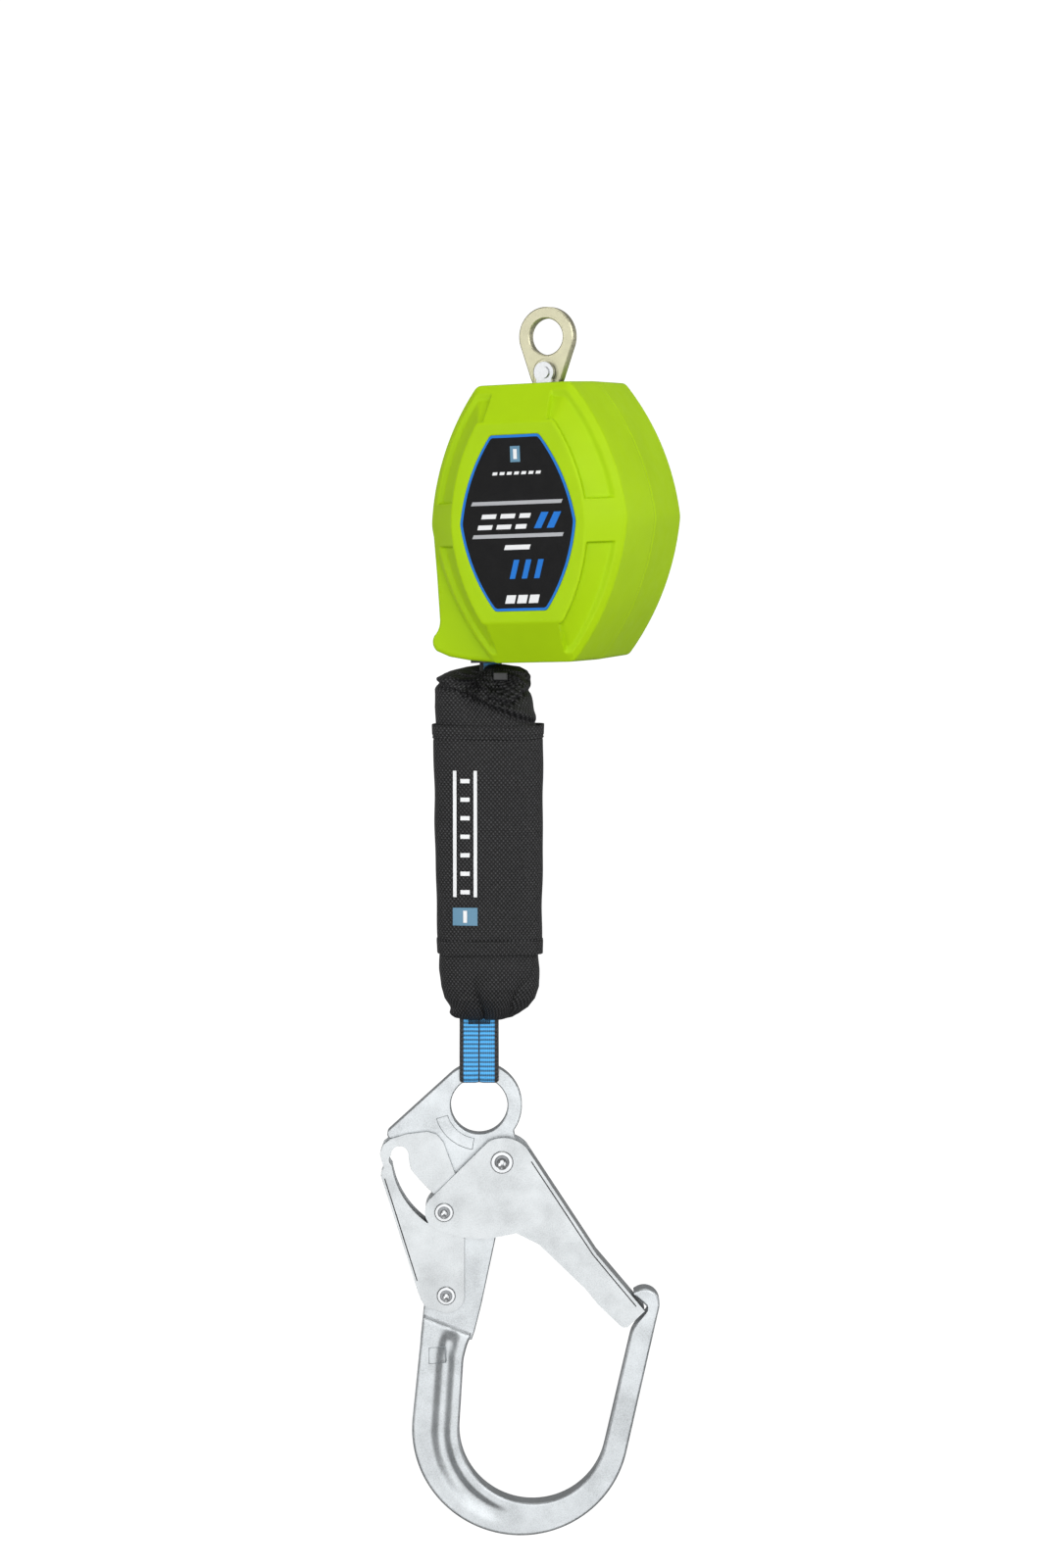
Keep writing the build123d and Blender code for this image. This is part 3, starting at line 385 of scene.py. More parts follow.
def plastic(name, color, roughness, grain=0.00003, grain_scale=2600, **sockets):
    """Moulded plastic: fine spark-eroded grain, faint colour drift and handling marks."""
    shader = Shader(name, color, roughness, **sockets)
    stops = [(0.3, tint(color, 1 - COLOR_DRIFT)), (0.7, tint(color, 1 + COLOR_DRIFT))]
    shader.link(shader.ramp(shader.noise(22, 3), stops), "Base Color")
    shader.roughness(shader.noise(140, 5), roughness - 0.05, roughness + 0.06, 0.3, 0.7)
    wide = shader.bump(shader.noise(60, 2), 0.00012, 0.35)
    shader.bump(shader.noise(grain_scale, 2, 0.6), grain, 0.7, under=wide)
    return shader.material


def zinc(name, color, roughness, speck=0.16, pits=0.00005, mottle=0.06):
    """Zinc plate over forged or pressed steel: a fine crystalline grain, soft mottling and faint blooms."""
    shader = Shader(name, color, roughness, 1.0)
    crystals = shader.noise(1500, 5, 0.8)
    both = shader.mixed(crystals, shader.noise(70, 4), 0.72)
    low, high = tint(color, 1 - speck - mottle), tint(color, 1 + speck)
    shader.link(shader.ramp(both, [(0.38, low), (0.5, color), (0.62, high)]), "Base Color")
    shader.roughness(crystals, roughness - 0.08, roughness + 0.14, 0.35, 0.65)
    wide = shader.bump(shader.noise(160, 4), pits * 3, 0.5)
    shader.bump(crystals, pits, 0.7, under=wide)
    return shader.material


def woven(name, color, light, thread, roughness=0.6):
    """Heavy nylon: staggered raised threads, each with a highlight painted into its colour. UV is in metres, round
    and down.
    """
    shader = Shader(name, color, roughness, Specular_IOR_Level=0.35)
    across = shader.math("SUBTRACT", shader.wave(thread, "X"), 0.5)
    along = shader.math("SUBTRACT", shader.wave(thread * 1.15, "Y"), 0.5)
    weave = shader.math("ADD", shader.math("MULTIPLY", shader.math("MULTIPLY", across, along), 2.0), 0.5)
    fuzz = shader.noise(2200, 4, 0.7)
    mixed = shader.mixed(weave, fuzz, 0.78)
    painted_glints = shader.mixed(mixed, shader.noise(700, 2, 0.5), 0.75)
    # painted highlight: the light colour on the raised threads stands in for their glints
    shader.link(shader.ramp(painted_glints, [(0.46, color), (0.64, tint(light, 0.35)), (0.78, light)]), "Base Color")
    shader.roughness(fuzz, roughness - 0.15, roughness + 0.1, 0.3, 0.7)
    shader.bump(mixed, 0.0005, 1.0)
    return shader.material


RIM = 0.0021                    # width of a web's dark edges


def webbing(name, color, edge, half_width, seam=0.0):
    """Ribbed polyester web: UV x is across from the middle, UV y runs along it, both in metres."""
    shader = Shader(name, color, 0.55, Sheen_Weight=0.25)
    split = shader.node("SeparateXYZ", {0: shader.places["UV"]})
    off = shader.math("ABSOLUTE", split.outputs["X"])
    weave = shader.mixed(shader.wave(0.0023, "Y"), shader.wave(0.0011, "X"), 0.75)
    body = shader.ramp(weave, [(0.1, tint(color, 0.22)), (0.42, color), (0.9, tint(color, 1.65))])
    rim = shader.math("GREATER_THAN", off, half_width - RIM)
    dark = shader.math("MAXIMUM", rim, shader.math("LESS_THAN", off, seam))
    both = shader.node("Mix", {0: dark, 6: body, 7: (*edge, 1)}, data_type="RGBA")
    shader.link(both.outputs[2], "Base Color")
    shader.bump(weave, 0.0005, 0.8)
    return shader.material


LIME = (0.37, 0.59, 0.003)
MATERIALS = {
    "lime_shell": plastic("lime_shell", LIME, 0.46, Specular_IOR_Level=0.13),
    "rear_plate": plastic("rear_plate", (0.72, 0.73, 0.73), 0.5),
    "black_plastic": plastic("black_plastic", (0.014, 0.014, 0.015), 0.42),
    "label_print": plastic("label_print", (0.004, 0.004, 0.0045), 0.6, grain=0.00015, grain_scale=1800,
                           Specular_IOR_Level=0.2),
    "yellow_zinc": zinc("yellow_zinc", (0.53, 0.51, 0.36), 0.38, speck=0.10, mottle=0.06),
    "zinc_steel": zinc("zinc_steel", (0.50, 0.525, 0.54), 0.42, speck=0.24, mottle=0.10),
    "sheet_zinc": zinc("sheet_zinc", (0.47, 0.49, 0.50), 0.40, speck=0.20, mottle=0.08, pits=0.00003),
    "bright_steel": zinc("bright_steel", (0.44, 0.45, 0.46), 0.18, speck=0.02, pits=0.00001, mottle=0.02),
    "frame_steel": zinc("frame_steel", (0.5, 0.51, 0.52), 0.4),
    "spring_steel": zinc("spring_steel", (0.2, 0.21, 0.24), 0.35),
    "bronze": zinc("bronze", (0.60, 0.40, 0.18), 0.4),
    "alloy": zinc("alloy", (0.62, 0.63, 0.64), 0.5),
    # the second colour is a painted highlight on the raised threads
    "black_nylon": woven("black_nylon", (0.0014, 0.0014, 0.0016), (0.060, 0.060, 0.064), 0.0021),
    "tear_web": plastic("tear_web", (0.62, 0.60, 0.54), 0.85, grain=0.0003, grain_scale=900),
    "blue_web": webbing("blue_web", (0.05, 0.30, 0.62), (0.008, 0.008, 0.009), 0.0102, 0.0004),
    "black_thread": plastic("black_thread", (0.01, 0.01, 0.01), 0.8, grain=0.0002, grain_scale=1500),
    "line_web": webbing("line_web", (0.035, 0.24, 0.56), (0.012, 0.012, 0.014), 0.0125),
    "rivet_steel": zinc("rivet_steel", (0.46, 0.47, 0.48), 0.22, speck=0.03, pits=0.00002),
    # painted shade, for the dark strips along the folds of the gate and the lever
    "gap": plastic("gap", (0.012, 0.012, 0.013), 0.7, grain=0.0001, grain_scale=1500),
}
BLUE_INK = plastic("blue_ink", (0.012, 0.17, 0.60), 0.5, Specular_IOR_Level=0.2)
WHITE_INK = plastic("white_ink", (0.78, 0.79, 0.80), 0.5)
GREY_INK = plastic("grey_ink", (0.40, 0.41, 0.43), 0.5)
PALE_BLUE_INK = plastic("pale_blue_ink", (0.10, 0.24, 0.36), 0.5)

for sub in record["subparts"]:
    node = frame["nodes"][sub["node"]]
    node.data.materials.clear()
    node.data.materials.append(MATERIALS[sub["material_slot"]])


def declared(obj, body, node=None):
    """Says what a piece rides on and hides the CAD node it is shown in place of."""
    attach(obj, body)
    if node:
        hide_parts(node)


def finish_as(obj, slot, body, node):
    obj.data.materials.clear()
    obj.data.materials.append(MATERIALS[slot])
    declared(obj, body, node)


# ---- housing shells
MID = -94.0                    # the housing's widest height
MIDDLE = np.array([0.0, MID])
LEVELS = {                     # half width, half top, half bottom, top, bottom and bow of each outline
    "parting": (57.0, 27.0, 23.5, -23.7, -165.3, 5.8),
    "ridge": (54.6, 25.8, 22.3, -24.1, -164.9, 5.8),
    "frame": (37.0, 21.0, 22.0, -44.0, -144.0, 3.6),
    "label": (32.2, 13.4, 14.4, -49.6, -138.4, 3.2),
    "rear_plate": (44.0, 19.0, 16.0, -36.0, -152.0, 4.6),
}
AROUND = 720                   # columns round the housing
SIDE_SHARES = (0.13, 0.19, 0.19, 0.11, 0.19, 0.19)     # of the columns, for each side of the outline
WALL = 3.2                     # the shells' thickness


def hexagon(half, top, bottom, z_top, z_bottom, bow):
    """The outline's straight and bowed sides, clockwise from the top left, in SIDE_SHARES of the steps."""
    upper = ((top + half) / 2 + bow * 0.9, (z_top + MID) / 2 + bow * 0.4)
    lower = ((bottom + half) / 2 + bow * 0.9, (z_bottom + MID) / 2 - bow * 0.4)
    corners = [(-top, z_top), (top, z_top), (half, MID),
               (bottom, z_bottom), (-bottom, z_bottom), (-half, MID)]
    bows = [None, upper, lower, None, (-lower[0], lower[1]), (-upper[0], upper[1])]
    points = []
    for index, (start, through, share) in enumerate(zip(corners, bows, SIDE_SHARES)):
        end = corners[(index + 1) % len(corners)]
        steps = round(AROUND * share)
        if through:
            points += arc(start, through, end, steps)
        else:
            points += [(start[0] + (end[0] - start[0]) * i / steps,
                        start[1] + (end[1] - start[1]) * i / steps) for i in range(steps)]
    return np.array(points)


def rounded(loop, radius):
    """Rounds a closed loop's corners by averaging along it."""
    step = np.linalg.norm(np.roll(loop, -1, axis=0) - loop, axis=1).mean()
    reach = max(1, int(radius / step))
    kernel = np.hanning(2 * reach + 3)[1:-1]
    kernel /= kernel.sum()
    result = np.zeros_like(loop)
    for offset, weight in zip(range(-reach, reach + 1), kernel):
        result += weight * np.roll(loop, offset, axis=0)
    return result


def outline(level, radius):
    return rounded(hexagon(*LEVELS[level]), radius)


def lofted(stations, radius, steps):
    """Rows from loop to loop, each station a loop and a depth, with the edges between rounded off."""
    rows = []
    for (a, ya), (b, yb), count in zip(stations, stations[1:], steps):
        for i in range(count):
            t = i / count
            rows.append(np.column_stack([a + (b - a) * t, np.full(len(a), ya + (yb - ya) * t)]))
    last, y_last = stations[-1]
    rows.append(np.column_stack([last, np.full(len(last), y_last)]))
    rows = np.array(rows)
    smooth = rows.copy()
    place = np.concatenate([[0], np.cumsum(np.linalg.norm(np.diff(rows, axis=0), axis=2).mean(axis=1))])
    widths = np.gradient(place)
    for i in range(1, len(rows) - 1):
        reach = min(radius, place[i], place[-1] - place[i])
        weights = np.clip(1 - np.abs(place - place[i]) / max(reach, 1e-6), 0, 1) * widths
        smooth[i] = np.tensordot(weights / weights.sum(), rows, axes=1)
    return smooth


def soft_step(value, width):
    t = np.clip(value / width, 0, 1)
    return t * t * (3 - 2 * t)


def shell(name, stations, radius, steps, dent=None):
    """A closed shell: rows out to the face, a cap, and the same rows again inside."""
    rows = lofted(stations, radius, steps)
    inner = rows[list(range(0, len(rows), 6)) + [len(rows) - 1]]
    inner[:, :, :2] = drawn_in(inner[:, :, :2], MIDDLE, WALL)
    inner[:, :, 2] *= 1 - WALL / np.abs(inner[:, :, 2]).max()
    if dent:
        rows = dent(rows)
    count, around = rows.shape[:2]
    points = [hung(x, y, z) for grid in (rows, inner) for row in grid for x, z, y in row]
    start, last = count * around, (count - 1) * around
    inner_last = start + (len(inner) - 1) * around
    faces = grid_faces(count, around)
    faces += [tuple(reversed(f)) for f in grid_faces(len(inner), around, start=start)]
    for j in range(around):
        k = (j + 1) % around
        faces.append((k, j, start + j, start + k))
    faces.append(tuple(last + j for j in range(around)))
    faces.append(tuple(inner_last + j for j in reversed(range(around))))
    return outward(piece(name, points, faces))


POCKET = 2.0                   # depth of the corner pockets
SLOPE = 19.0                   # width of the front's slopes
RIDGE_Y = -30.5                # depth of the slopes' outer edge
CROWN_Y = -43.6                # depth of the frame round the label
CROWN_RISE = 0.8               # depth of the label's seat in it
BORDER = 1.35                  # width of the label's blue border
NOZZLE_WALL = 2.6              # thickness of the nozzle's outer wall
NOZZLE_ROUND = 2.2             # radius of its outer edge
SWIVEL_HOLE = 13.5             # radius of the swivel's opening


def corner_pockets(rows):
    """Presses the four corner pockets into the front's slopes."""
    x, z, y = rows[:, :, 0], rows[:, :, 1], rows[:, :, 2]
    share = (RIDGE_Y - y) / (RIDGE_Y - CROWN_Y)        # 0 at the ridge, 1 at the frame
    inside = (1 - share) * SLOPE - 0.9                  # how far outside the frame
    outside = share * SLOPE - 3.2                       # how far inside the ridge
    beside = np.abs(z - MID) - 10.5                     # how far from the band at the widest height
    ends = np.abs(x) - np.where(z > MID, 17.5, 20.0) + (1 - share) * 2.0
    tall = np.where(z > MID, -26.5 - z, z + 162.0)
    press = (soft_step(inside, 1.1) * soft_step(outside, 3.4) * soft_step(beside, 1.3)
             * soft_step(ends, 1.6) * soft_step(tall, 3.0))
    press = np.where((share > 0) & (share < 1.02), press, 0)
    rows = rows.copy()
    rows[:, :, 2] = y + POCKET * press
    reach = rows[:, :, :2] - MIDDLE
    reach /= np.linalg.norm(reach, axis=2, keepdims=True)
    rows[:, :, :2] -= reach * (press * POCKET * 0.55)[:, :, None]
    return rows


def stacked(name, rings):
    """A closed solid through rings of points, capped at both ends."""
    count = len(rings[0])
    last = (len(rings) - 1) * count
    faces = grid_faces(len(rings), count)
    faces += [tuple(range(count)), tuple(last + i for i in reversed(range(count)))]
    return piece(name, [point for ring in rings for point in ring], faces)


def prism(name, loop, y_low, y_high):
    """A plain block over a loop of (x, z) points between two depths."""
    return stacked(name, [[hung(x, y, z) for x, z in loop] for y in (y_low, y_high)])


def nozzle_loop(inset):
    """The web nozzle's outline, lower left, drawn in by the inset."""
    left = -55.4 + inset
    bottom = -165.3 + inset
    loop = [(-16, -100), (left - 1.2, -99.0), (left - 0.2, -120), (left + 0.4, -140)]
    loop += arc((left + 0.4, -141), (left - 0.6, -147), (left - 3.2, -150.5), 6)
    loop += arc((left - 3.2, -150.5), (left - 3.6, bottom + 9), (left - 1.0, bottom + 6.3), 8)
    loop += [(left + 5, bottom + 4.0), (left + 16, bottom + 2.0), (-22, bottom + 0.35), (-16, bottom + 0.3)]
    return loop


def nozzle_block(y_face):
    """The nozzle's half out to a face, with its outer edge rounded over."""
    side = math.copysign(1, y_face)
    steps = 5
    rings = [[hung(x, 0.0, z) for x, z in nozzle_loop(0.0)]]
    for i in range(steps + 1):
        turn = math.pi / 2 * i / steps
        y = y_face - side * (NOZZLE_ROUND * (1 - math.sin(turn)))
        rings.append([hung(x, y, z) for x, z in nozzle_loop(NOZZLE_ROUND * (1 - math.cos(turn)))])
    return stacked("nozzle", rings)


def opened(body, side):
    """Cuts the swivel's opening, the web's way through the nozzle and the web slot."""
    rings = [[hung(x, y, z) for x, y in circle((0, 0), SWIVEL_HOLE)] for z in (-10.0, -32.0)]
    boolean(body, stacked("hole", rings), "DIFFERENCE")
    way = nozzle_loop(NOZZLE_WALL)[:-2] + [(-24, -160.5), (-24, -104)]
    boolean(body, prism("way", way, -side, side * 21.0), "DIFFERENCE")
    slot = [(-43.1, -172), (-34.1, -172), (-34.1, -150), (-43.1, -150)]
    boolean(body, prism("slot", slot, -side, side * 14.8), "DIFFERENCE")


SCREWS = ((-34.2, -41.6), (34.2, -41.6), (19, -159))     # the rear's counterbores


def half(name, node, stations, radius, steps, nozzle_y, screws=(), dent=None):
    """One half of the housing, from the parting line's groove out to its face."""
    side = int(math.copysign(1, nozzle_y))
    parting = outline("parting", 3.5)
    base = [(parting * [0.9945, 1.0], 0.0), (parting, 0.55 * side)]
    body = shell(name, base + stations, radius, steps, dent)
    boolean(body, nozzle_block(nozzle_y), "UNION")
    for spot in screws:
        boolean(body, prism("counterbore", circle(spot, 3.0, 32), 16.0, 46.0), "DIFFERENCE")
    opened(body, side)
    finish_as(crease(body, 38), "lime_shell", "housing", node)


ridge = outline("ridge", 3.5)
seat = outline("label", 2.2)
back = outline("rear_plate", 3.0)
half("housing_front", "front_shell",
     [(ridge, RIDGE_Y), (outline("frame", 3.0), CROWN_Y), (seat, CROWN_Y),
      (seat * [0.992, 1.0], CROWN_Y + CROWN_RISE)],
     1.5, [3, 30, 54, 12, 6], -26.0, dent=corner_pockets)
half("housing_rear", "rear_shell",
     [(ridge, 38.2), (ridge * [0.965, 1.0], 41.0), (back, 41.0), (back * [0.99, 1.0], 40.2)],
     1.6, [3, 34, 6, 16, 6], 24.0, screws=SCREWS)


# ---- label


def label():
    """The printed label: a dark plate in a blue border, with plain bars in place of print."""
    edge = outline("label", 2.2) * [0.993, 1.0]
    edge[:, 1] = MID + (edge[:, 1] - MID) * 0.995
    front_y = CROWN_Y + 0.12
    back_y = CROWN_Y + CROWN_RISE - 0.05
    count = len(edge)
    layers = ((edge, back_y), (edge, front_y), (drawn_in(edge, MIDDLE, BORDER), front_y))
    points = [hung(x, y, z) for loop, y in layers for x, z in loop]
    faces = grid_faces(3, count) + [tuple(2 * count + i for i in range(count)), tuple(reversed(range(count)))]
    base = piece("label_base", points, faces, BLUE_INK)
    base.data.materials.append(MATERIALS["label_print"])
    base.data.polygons[2 * count].material_index = 1
    parts = [base]

    def bar(x, z, wide, tall, slant, ink, lift=0.0):
        """A printed bar, leaning to the right, by its lower left corner."""
        corners = [(x, z), (x + wide, z), (x + wide + slant, z + tall), (x + slant, z + tall)]
        points = [hung(a, front_y - 0.04 - lift, b) for a, b in corners]
        parts.append(piece("bar", points, [(0, 1, 2, 3)], ink))

    bar(-2.6, -63.5, 5.4, 8.0, 0.0, PALE_BLUE_INK)
    bar(-0.9, -62.0, 2.0, 5.0, 0.0, WHITE_INK, 0.02)
    for x in range(-13, 13, 4):
        bar(x, -69.8, 2.6, 1.5, 0.5, WHITE_INK)
    for z in (-84.8, -101.4):
        bar(-25.5, z, 50.0, 1.9, 0.9, GREY_INK)
    for x, wide in ((-22.5, 8.0), (-12.0, 8.0), (-1.5, 6.0)):
        bar(x, -97.0, wide, 2.3, 0.8, WHITE_INK)
        bar(x + 2.4, -91.6, wide, 2.3, 0.8, WHITE_INK)
    for x in (9.0, 16.0):
        bar(x, -97.0, 4.0, 8.0, 4.4, BLUE_INK)
    bar(-8.0, -107.4, 14.0, 2.4, 0.9, WHITE_INK)
    for x in (-5.5, 1.2, 8.0):
        bar(x, -122.0, 3.0, 9.5, 2.8, BLUE_INK)
    for x in (-8.5, -2.0, 4.5):
        bar(x, -134.4, 5.2, 4.2, 1.2, WHITE_INK)
    declared(joined("front_print", parts), "housing", "front_label")


label()


# ---- eye and swivel
softened("eye_plate", 1.3, "yellow_zinc", "anchor", "anchor_eye")
softened("swivel_clevis", 0.9, "bright_steel", "swivel", "swivel_fork")
softened("swivel_nut", 0.5, "frame_steel", "swivel", "swivel_lock_nut")
softened("swivel_washer", 0.4, "frame_steel", "swivel", "swivel_thrust_washer")
softened("web_guide", 0.5, "black_plastic", "housing", "nozzle_guide")
softened("cable_tie", 0.7, "black_plastic", "absorber", "tie_head")


def lathe(section, place, material, steps=48):
    """Turns a section of (radius, height) about an axis. place takes the turned point (x, height, y)."""
    points = []
    for radius, height in section:
        for i in range(steps):
            turn = math.tau * i / steps
            points.append(place(radius * math.cos(turn), height, radius * math.sin(turn)))
    return crease(piece("turned", points, tube_faces(len(section), steps), material), 30)


def rivet(name, node, body, u, z, low, head_r, shank_r):
    """Both heads of a rivet, each with a rolled edge round a conical recess."""
    section = [(shank_r, low - 0.6), (head_r, low - 0.1), (head_r, low + 0.75), (head_r - 0.5, low + 1.25),
               (head_r * 0.66, low + 1.35), (head_r * 0.56, low + 1.0), (head_r * 0.5, low + 0.5),
               (head_r * 0.16, low - 0.6), (0.05, low - 0.7)]
    heads = [lathe(section, lambda x, h, y, s=side: on_hook(u + x, s * h, z + y), MATERIALS["rivet_steel"])
             for side in (1, -1)]
    declared(joined(name, heads), body, node)


GATE_PIVOT = (11.9, -28.9)
CROSS_PIN = (-18.3, -55.4)
LEVER_PIVOT = (-17.3, -100.0)
rivet("pivot_rivet", "gate_rivet", "gate", *GATE_PIVOT, 8.95, 5.9, 3.9)
rivet("cross_rivet", "cross_pin", "gate", *CROSS_PIN, 8.95, 5.0, 2.9)
rivet("lever_pivot_rivet", "lever_rivet", "lever", *LEVER_PIVOT, 6.75, 4.9, 3.9)


# ---- snap hook
def run(points, steps):
    """Evenly spaced points along a line of points."""
    points = np.array(points, float)
    lengths = running(points)
    places = np.linspace(0, lengths[-1], steps, endpoint=False)
    return np.column_stack([np.interp(places, lengths, points[:, i]) for i in range(2)])


def smoothed(path, passes):
    """A line of points with its corners eased and its ends kept."""
    for _ in range(passes):
        path[1:-1] = (path[:-2] + 2 * path[1:-1] + path[2:]) / 4
    return path


VALLEY_AT = 9.4                # from the bowl's inner edge to the valley's middle


def groove(off):
    """The forged valley's section: a steep side by the inner rim and a long outer slope."""
    if off < 0:
        return math.exp(-((off / 3.4) ** 4))
    return math.exp(-((off / 3.9) ** 3))


def bowl():
    """The forged bowl and nose: a thick bar with a valley beside its raised inner rim."""
    outer_arc = arc((-35.1, -165.1), (21.5, -228.5), (77.3, -183.4), 80) + [(77.3, -183.4)]
    inner_arc = arc((-10.4, -168), (28.0, -211.0), (65.5, -181.2), 80) + [(65.5, -181.2)]
    tip_arc = arc((94.4, -106), (90.3, -97.3), (80.3, -99), 16) + [(80.3, -99)]
    stretches = [
        (run([(-29.4, -109.6), (-35.1, -165.1)], 60),
         run([(-3.6, -120.0), (-6.3, -126.2), (-8.3, -133.8), (-10.4, -168)], 60)),
        (run(outer_arc, 170), run(inner_arc, 170)),
        (run([(77.3, -183.4), (92.8, -113)], 60), run([(65.5, -181.2), (79.5, -120)], 60)),
        (run([(92.8, -113)] + tip_arc, 41),
         run([(79.5, -120), (82.4, -115), (88.0, -109.2), (88.2, -106.4), (80.6, -99.6)], 41)),
    ]
    outer, inner = (smoothed(np.vstack(edge), 6) for edge in zip(*stretches))
    along = running((outer + inner) / 2)
    half_thick, edge_r, across_steps = 6.5, 1.5, 44
    points = []
    for (ox, oz), (ix, iz), s in zip(outer, inner, along):
        width = math.hypot(ix - ox, iz - oz)
        top = half_thick - 2.1 * (1 - soft_step(s, 3.0))
        round_r = min(edge_r, width * 0.45)
        valley = 2.2 * soft_step(s - 1, 9) * (1 - soft_step(s - 100, 24))
        section = []
        for i in range(across_steps + 1):
            q = 0.5 - 0.5 * math.cos(math.pi * i / across_steps)
            from_outer, from_inner = q * width, (1 - q) * width
            near = min(from_outer, from_inner)
            drop = 0.0
            if near < round_r:
                drop = round_r - math.sqrt(max(0.0, round_r ** 2 - (round_r - near) ** 2))
            dent = valley * groove(from_inner - VALLEY_AT)
            section.append((q, top - drop - dent))
        for side, edge in ((1, section), (-1, section[::-1])):
            points += [on_hook(ox + (ix - ox) * q, side * h, oz + (iz - oz) * q) for q, h in edge]
    return crease(piece("bowl", points, tube_faces(len(outer), 2 * (across_steps + 1))), 50)


def upper_blank():
    """The ring, wing and neck of the forged blank, under the folded parts."""
    loop = arc((-15.1, 16.4), (15.8, 15.8), (17.1, -14.3), 40)
    loop += arc((19.0, -19.8), (23.4, -28.9), (21.0, -36.0), 12)
    loop += [(10.5, -58), (8.8, -68.9), (1.1, -105.2), (-2.5, -119.7), (-4.0, -124), (-31.0, -124),
             (-29.3, -108), (-25.4, -90), (-18.8, -74), (-13.2, -58), (-14.6, -51.0)]
    loop += arc((-14.6, -51.0), (-22.6, -32.9), (-21.0, -18.6), 16)
    loop += [(-21.0, -18.6), (-46.2, -17.6)]
    loop += arc((-46.2, -17.6), (-48.0, -15.4), (-46.8, -12.6), 8)
    return plate("blank", [loop, circle((0, 0), 14.8, 72)], 4.5, 0.8, 4)


def raised_line(loop, height, wide=0.8):
    """A thin stamped line round a loop of (u, z) points."""
    loop = np.array(loop)
    inner = drawn_in(loop, loop.mean(axis=0), wide)
    rings = ((loop, -0.3), ((loop + inner) / 2, 0.35), (inner, -0.3))
    points = [on_hook(u, height + rise, z) for ring, rise in rings for u, z in ring]
    return crease(piece("stamp", points, grid_faces(3, len(loop))), 80)


def sector(r_low, r_high, start, end, steps=18):
    """The outline of a ring's sector about the eye of the hook."""
    angles = [math.radians(start + (end - start) * i / steps) for i in range(steps + 1)]
    loop = [(r_high * math.cos(a), r_high * math.sin(a)) for a in angles]
    return loop + [(r_low * math.cos(a), r_low * math.sin(a)) for a in reversed(angles)]


def hook():
    """The forged hook in one piece, with an empty stamped frame and a raised sector by the ring."""
    stamp = [(-26.6, -127.6), (-17.6, -127.0), (-17.2, -135.8), (-26.6, -136.6)]
    outer_line = sector(16.9, 23.6, 196, 262)
    inner_line = sector(17.35, 23.15, 197.2, 260.8)
    points = [on_hook(u, 4.3, z) for u, z in outer_line] + [on_hook(u, 4.85, z) for u, z in inner_line]
    parts = [upper_blank(), bowl(), raised_line(stamp, 6.5),
             piece("sector", points, grid_faces(2, len(outer_line)))]
    for part in parts:
        part.data.materials.clear()
        part.data.materials.append(MATERIALS["zinc_steel"])
    made = joined("forged_hook", parts)
    even_normals(made, 40)
    declared(made, "hook", "hook_body")


def gap_line(name, line, out, body, wide=0.6):
    """Painted shade: near-black strips along the line where a cheek meets its folded strip, on both sides."""
    side = sideways(line) * wide / 2
    strips = []
    for height in (out, -out):
        points = [on_hook(u, height, z) for edge in (line + side, line - side) for u, z in edge]
        strips.append(piece("gap", points, grid_faces(2, len(line), closed=False), MATERIALS["gap"]))
    declared(joined(name, strips), body)


hook()
softened("gate", 0.6, "sheet_zinc", "gate", "folded_gate")
softened("lock_lever", 0.6, "sheet_zinc", "lever", "folded_lever")
# strips of painted shade along the folds of the gate and the lever
gap_line("gate_fold_gap", run([(27.2, -28.6), (59.4, -77.9), (66.2, -86.2), (83.6, -107.2)], 40), 8.93,
         "gate")
gap_line("lever_fold_gap", run([(-49.3, -38.0), (-31.0, -97.0)], 12), 6.73, "lever")


# ---- cloth and webs
def girth_steps(obj, row, columns):
    """The running length round one row of a closed grid, in metres."""
    return running([obj.data.vertices[row * columns + j % columns].co for j in range(columns + 1)])


def cloth_map(obj, rows, columns, sizes):
    """UV in metres: around the piece and down it."""
    layer = obj.data.uv_layers.new(name="cloth")
    for polygon in obj.data.polygons:
        spots = [obj.data.loops[i].vertex_index for i in polygon.loop_indices]
        seam = max(v % columns for v in spots) - min(v % columns for v in spots) > columns / 2
        for loop_index, vertex in zip(polygon.loop_indices, spots):
            row, column = divmod(vertex, columns)
            around, down = sizes(min(row, rows - 1), column)
            if seam and column == 0:
                around = sizes(min(row, rows - 1), columns)[0]
            layer.data[loop_index].uv = (around, down)


def fold_noise(u, v, w):
    """A smooth wander from -1 to 1, for cloth."""
    return (math.sin(u * 1.7 + math.sin(v * 1.3 + w)) + math.sin(v * 2.3 + math.sin(u * 0.9 + 1.7 * w))) * 0.5


def squarish(c, s, roundness):
    """The point of a rounded box section, from the cosine and sine of its turn."""
    power = 2 / roundness
    return math.copysign(abs(c) ** power, c), math.copysign(abs(s) ** power, s)


COVER = [   # height, centre across, half width, half depth
    (-168.2, 1.5, 6.0, 5.0), (-169.4, 1.2, 13.0, 9.0), (-171.5, -0.8, 18.5, 12.0), (-175.0, -3.0, 22.4, 14.4),
    (-181.0, -4.0, 24.6, 15.6), (-190.0, -3.4, 25.6, 16.0), (-200.0, -2.0, 26.2, 16.0),
    (-230.0, -1.4, 26.4, 15.4), (-317.0, -0.8, 25.7, 14.6), (-327.0, -0.8, 25.9, 14.8),
    (-336.0, -0.5, 25.2, 14.2), (-342.0, -0.5, 23.4, 12.8), (-346.5, -0.6, 20.2, 10.6),
    (-350.0, -2.0, 17.0, 8.2), (-352.3, -3.2, 14.2, 6.2), (-353.2, -3.6, 10.0, 4.0),
]


TOP_CREASES = (   # across, then height, of the deep creases below the gathering
    ((-28, -12, 4, 14, 25), (-177.0, -183.5, -191.0, -195.0, -198.0)),
    ((-8, 0, 9, 19), (-177.0, -185.5, -187.5, -181.0)),
)


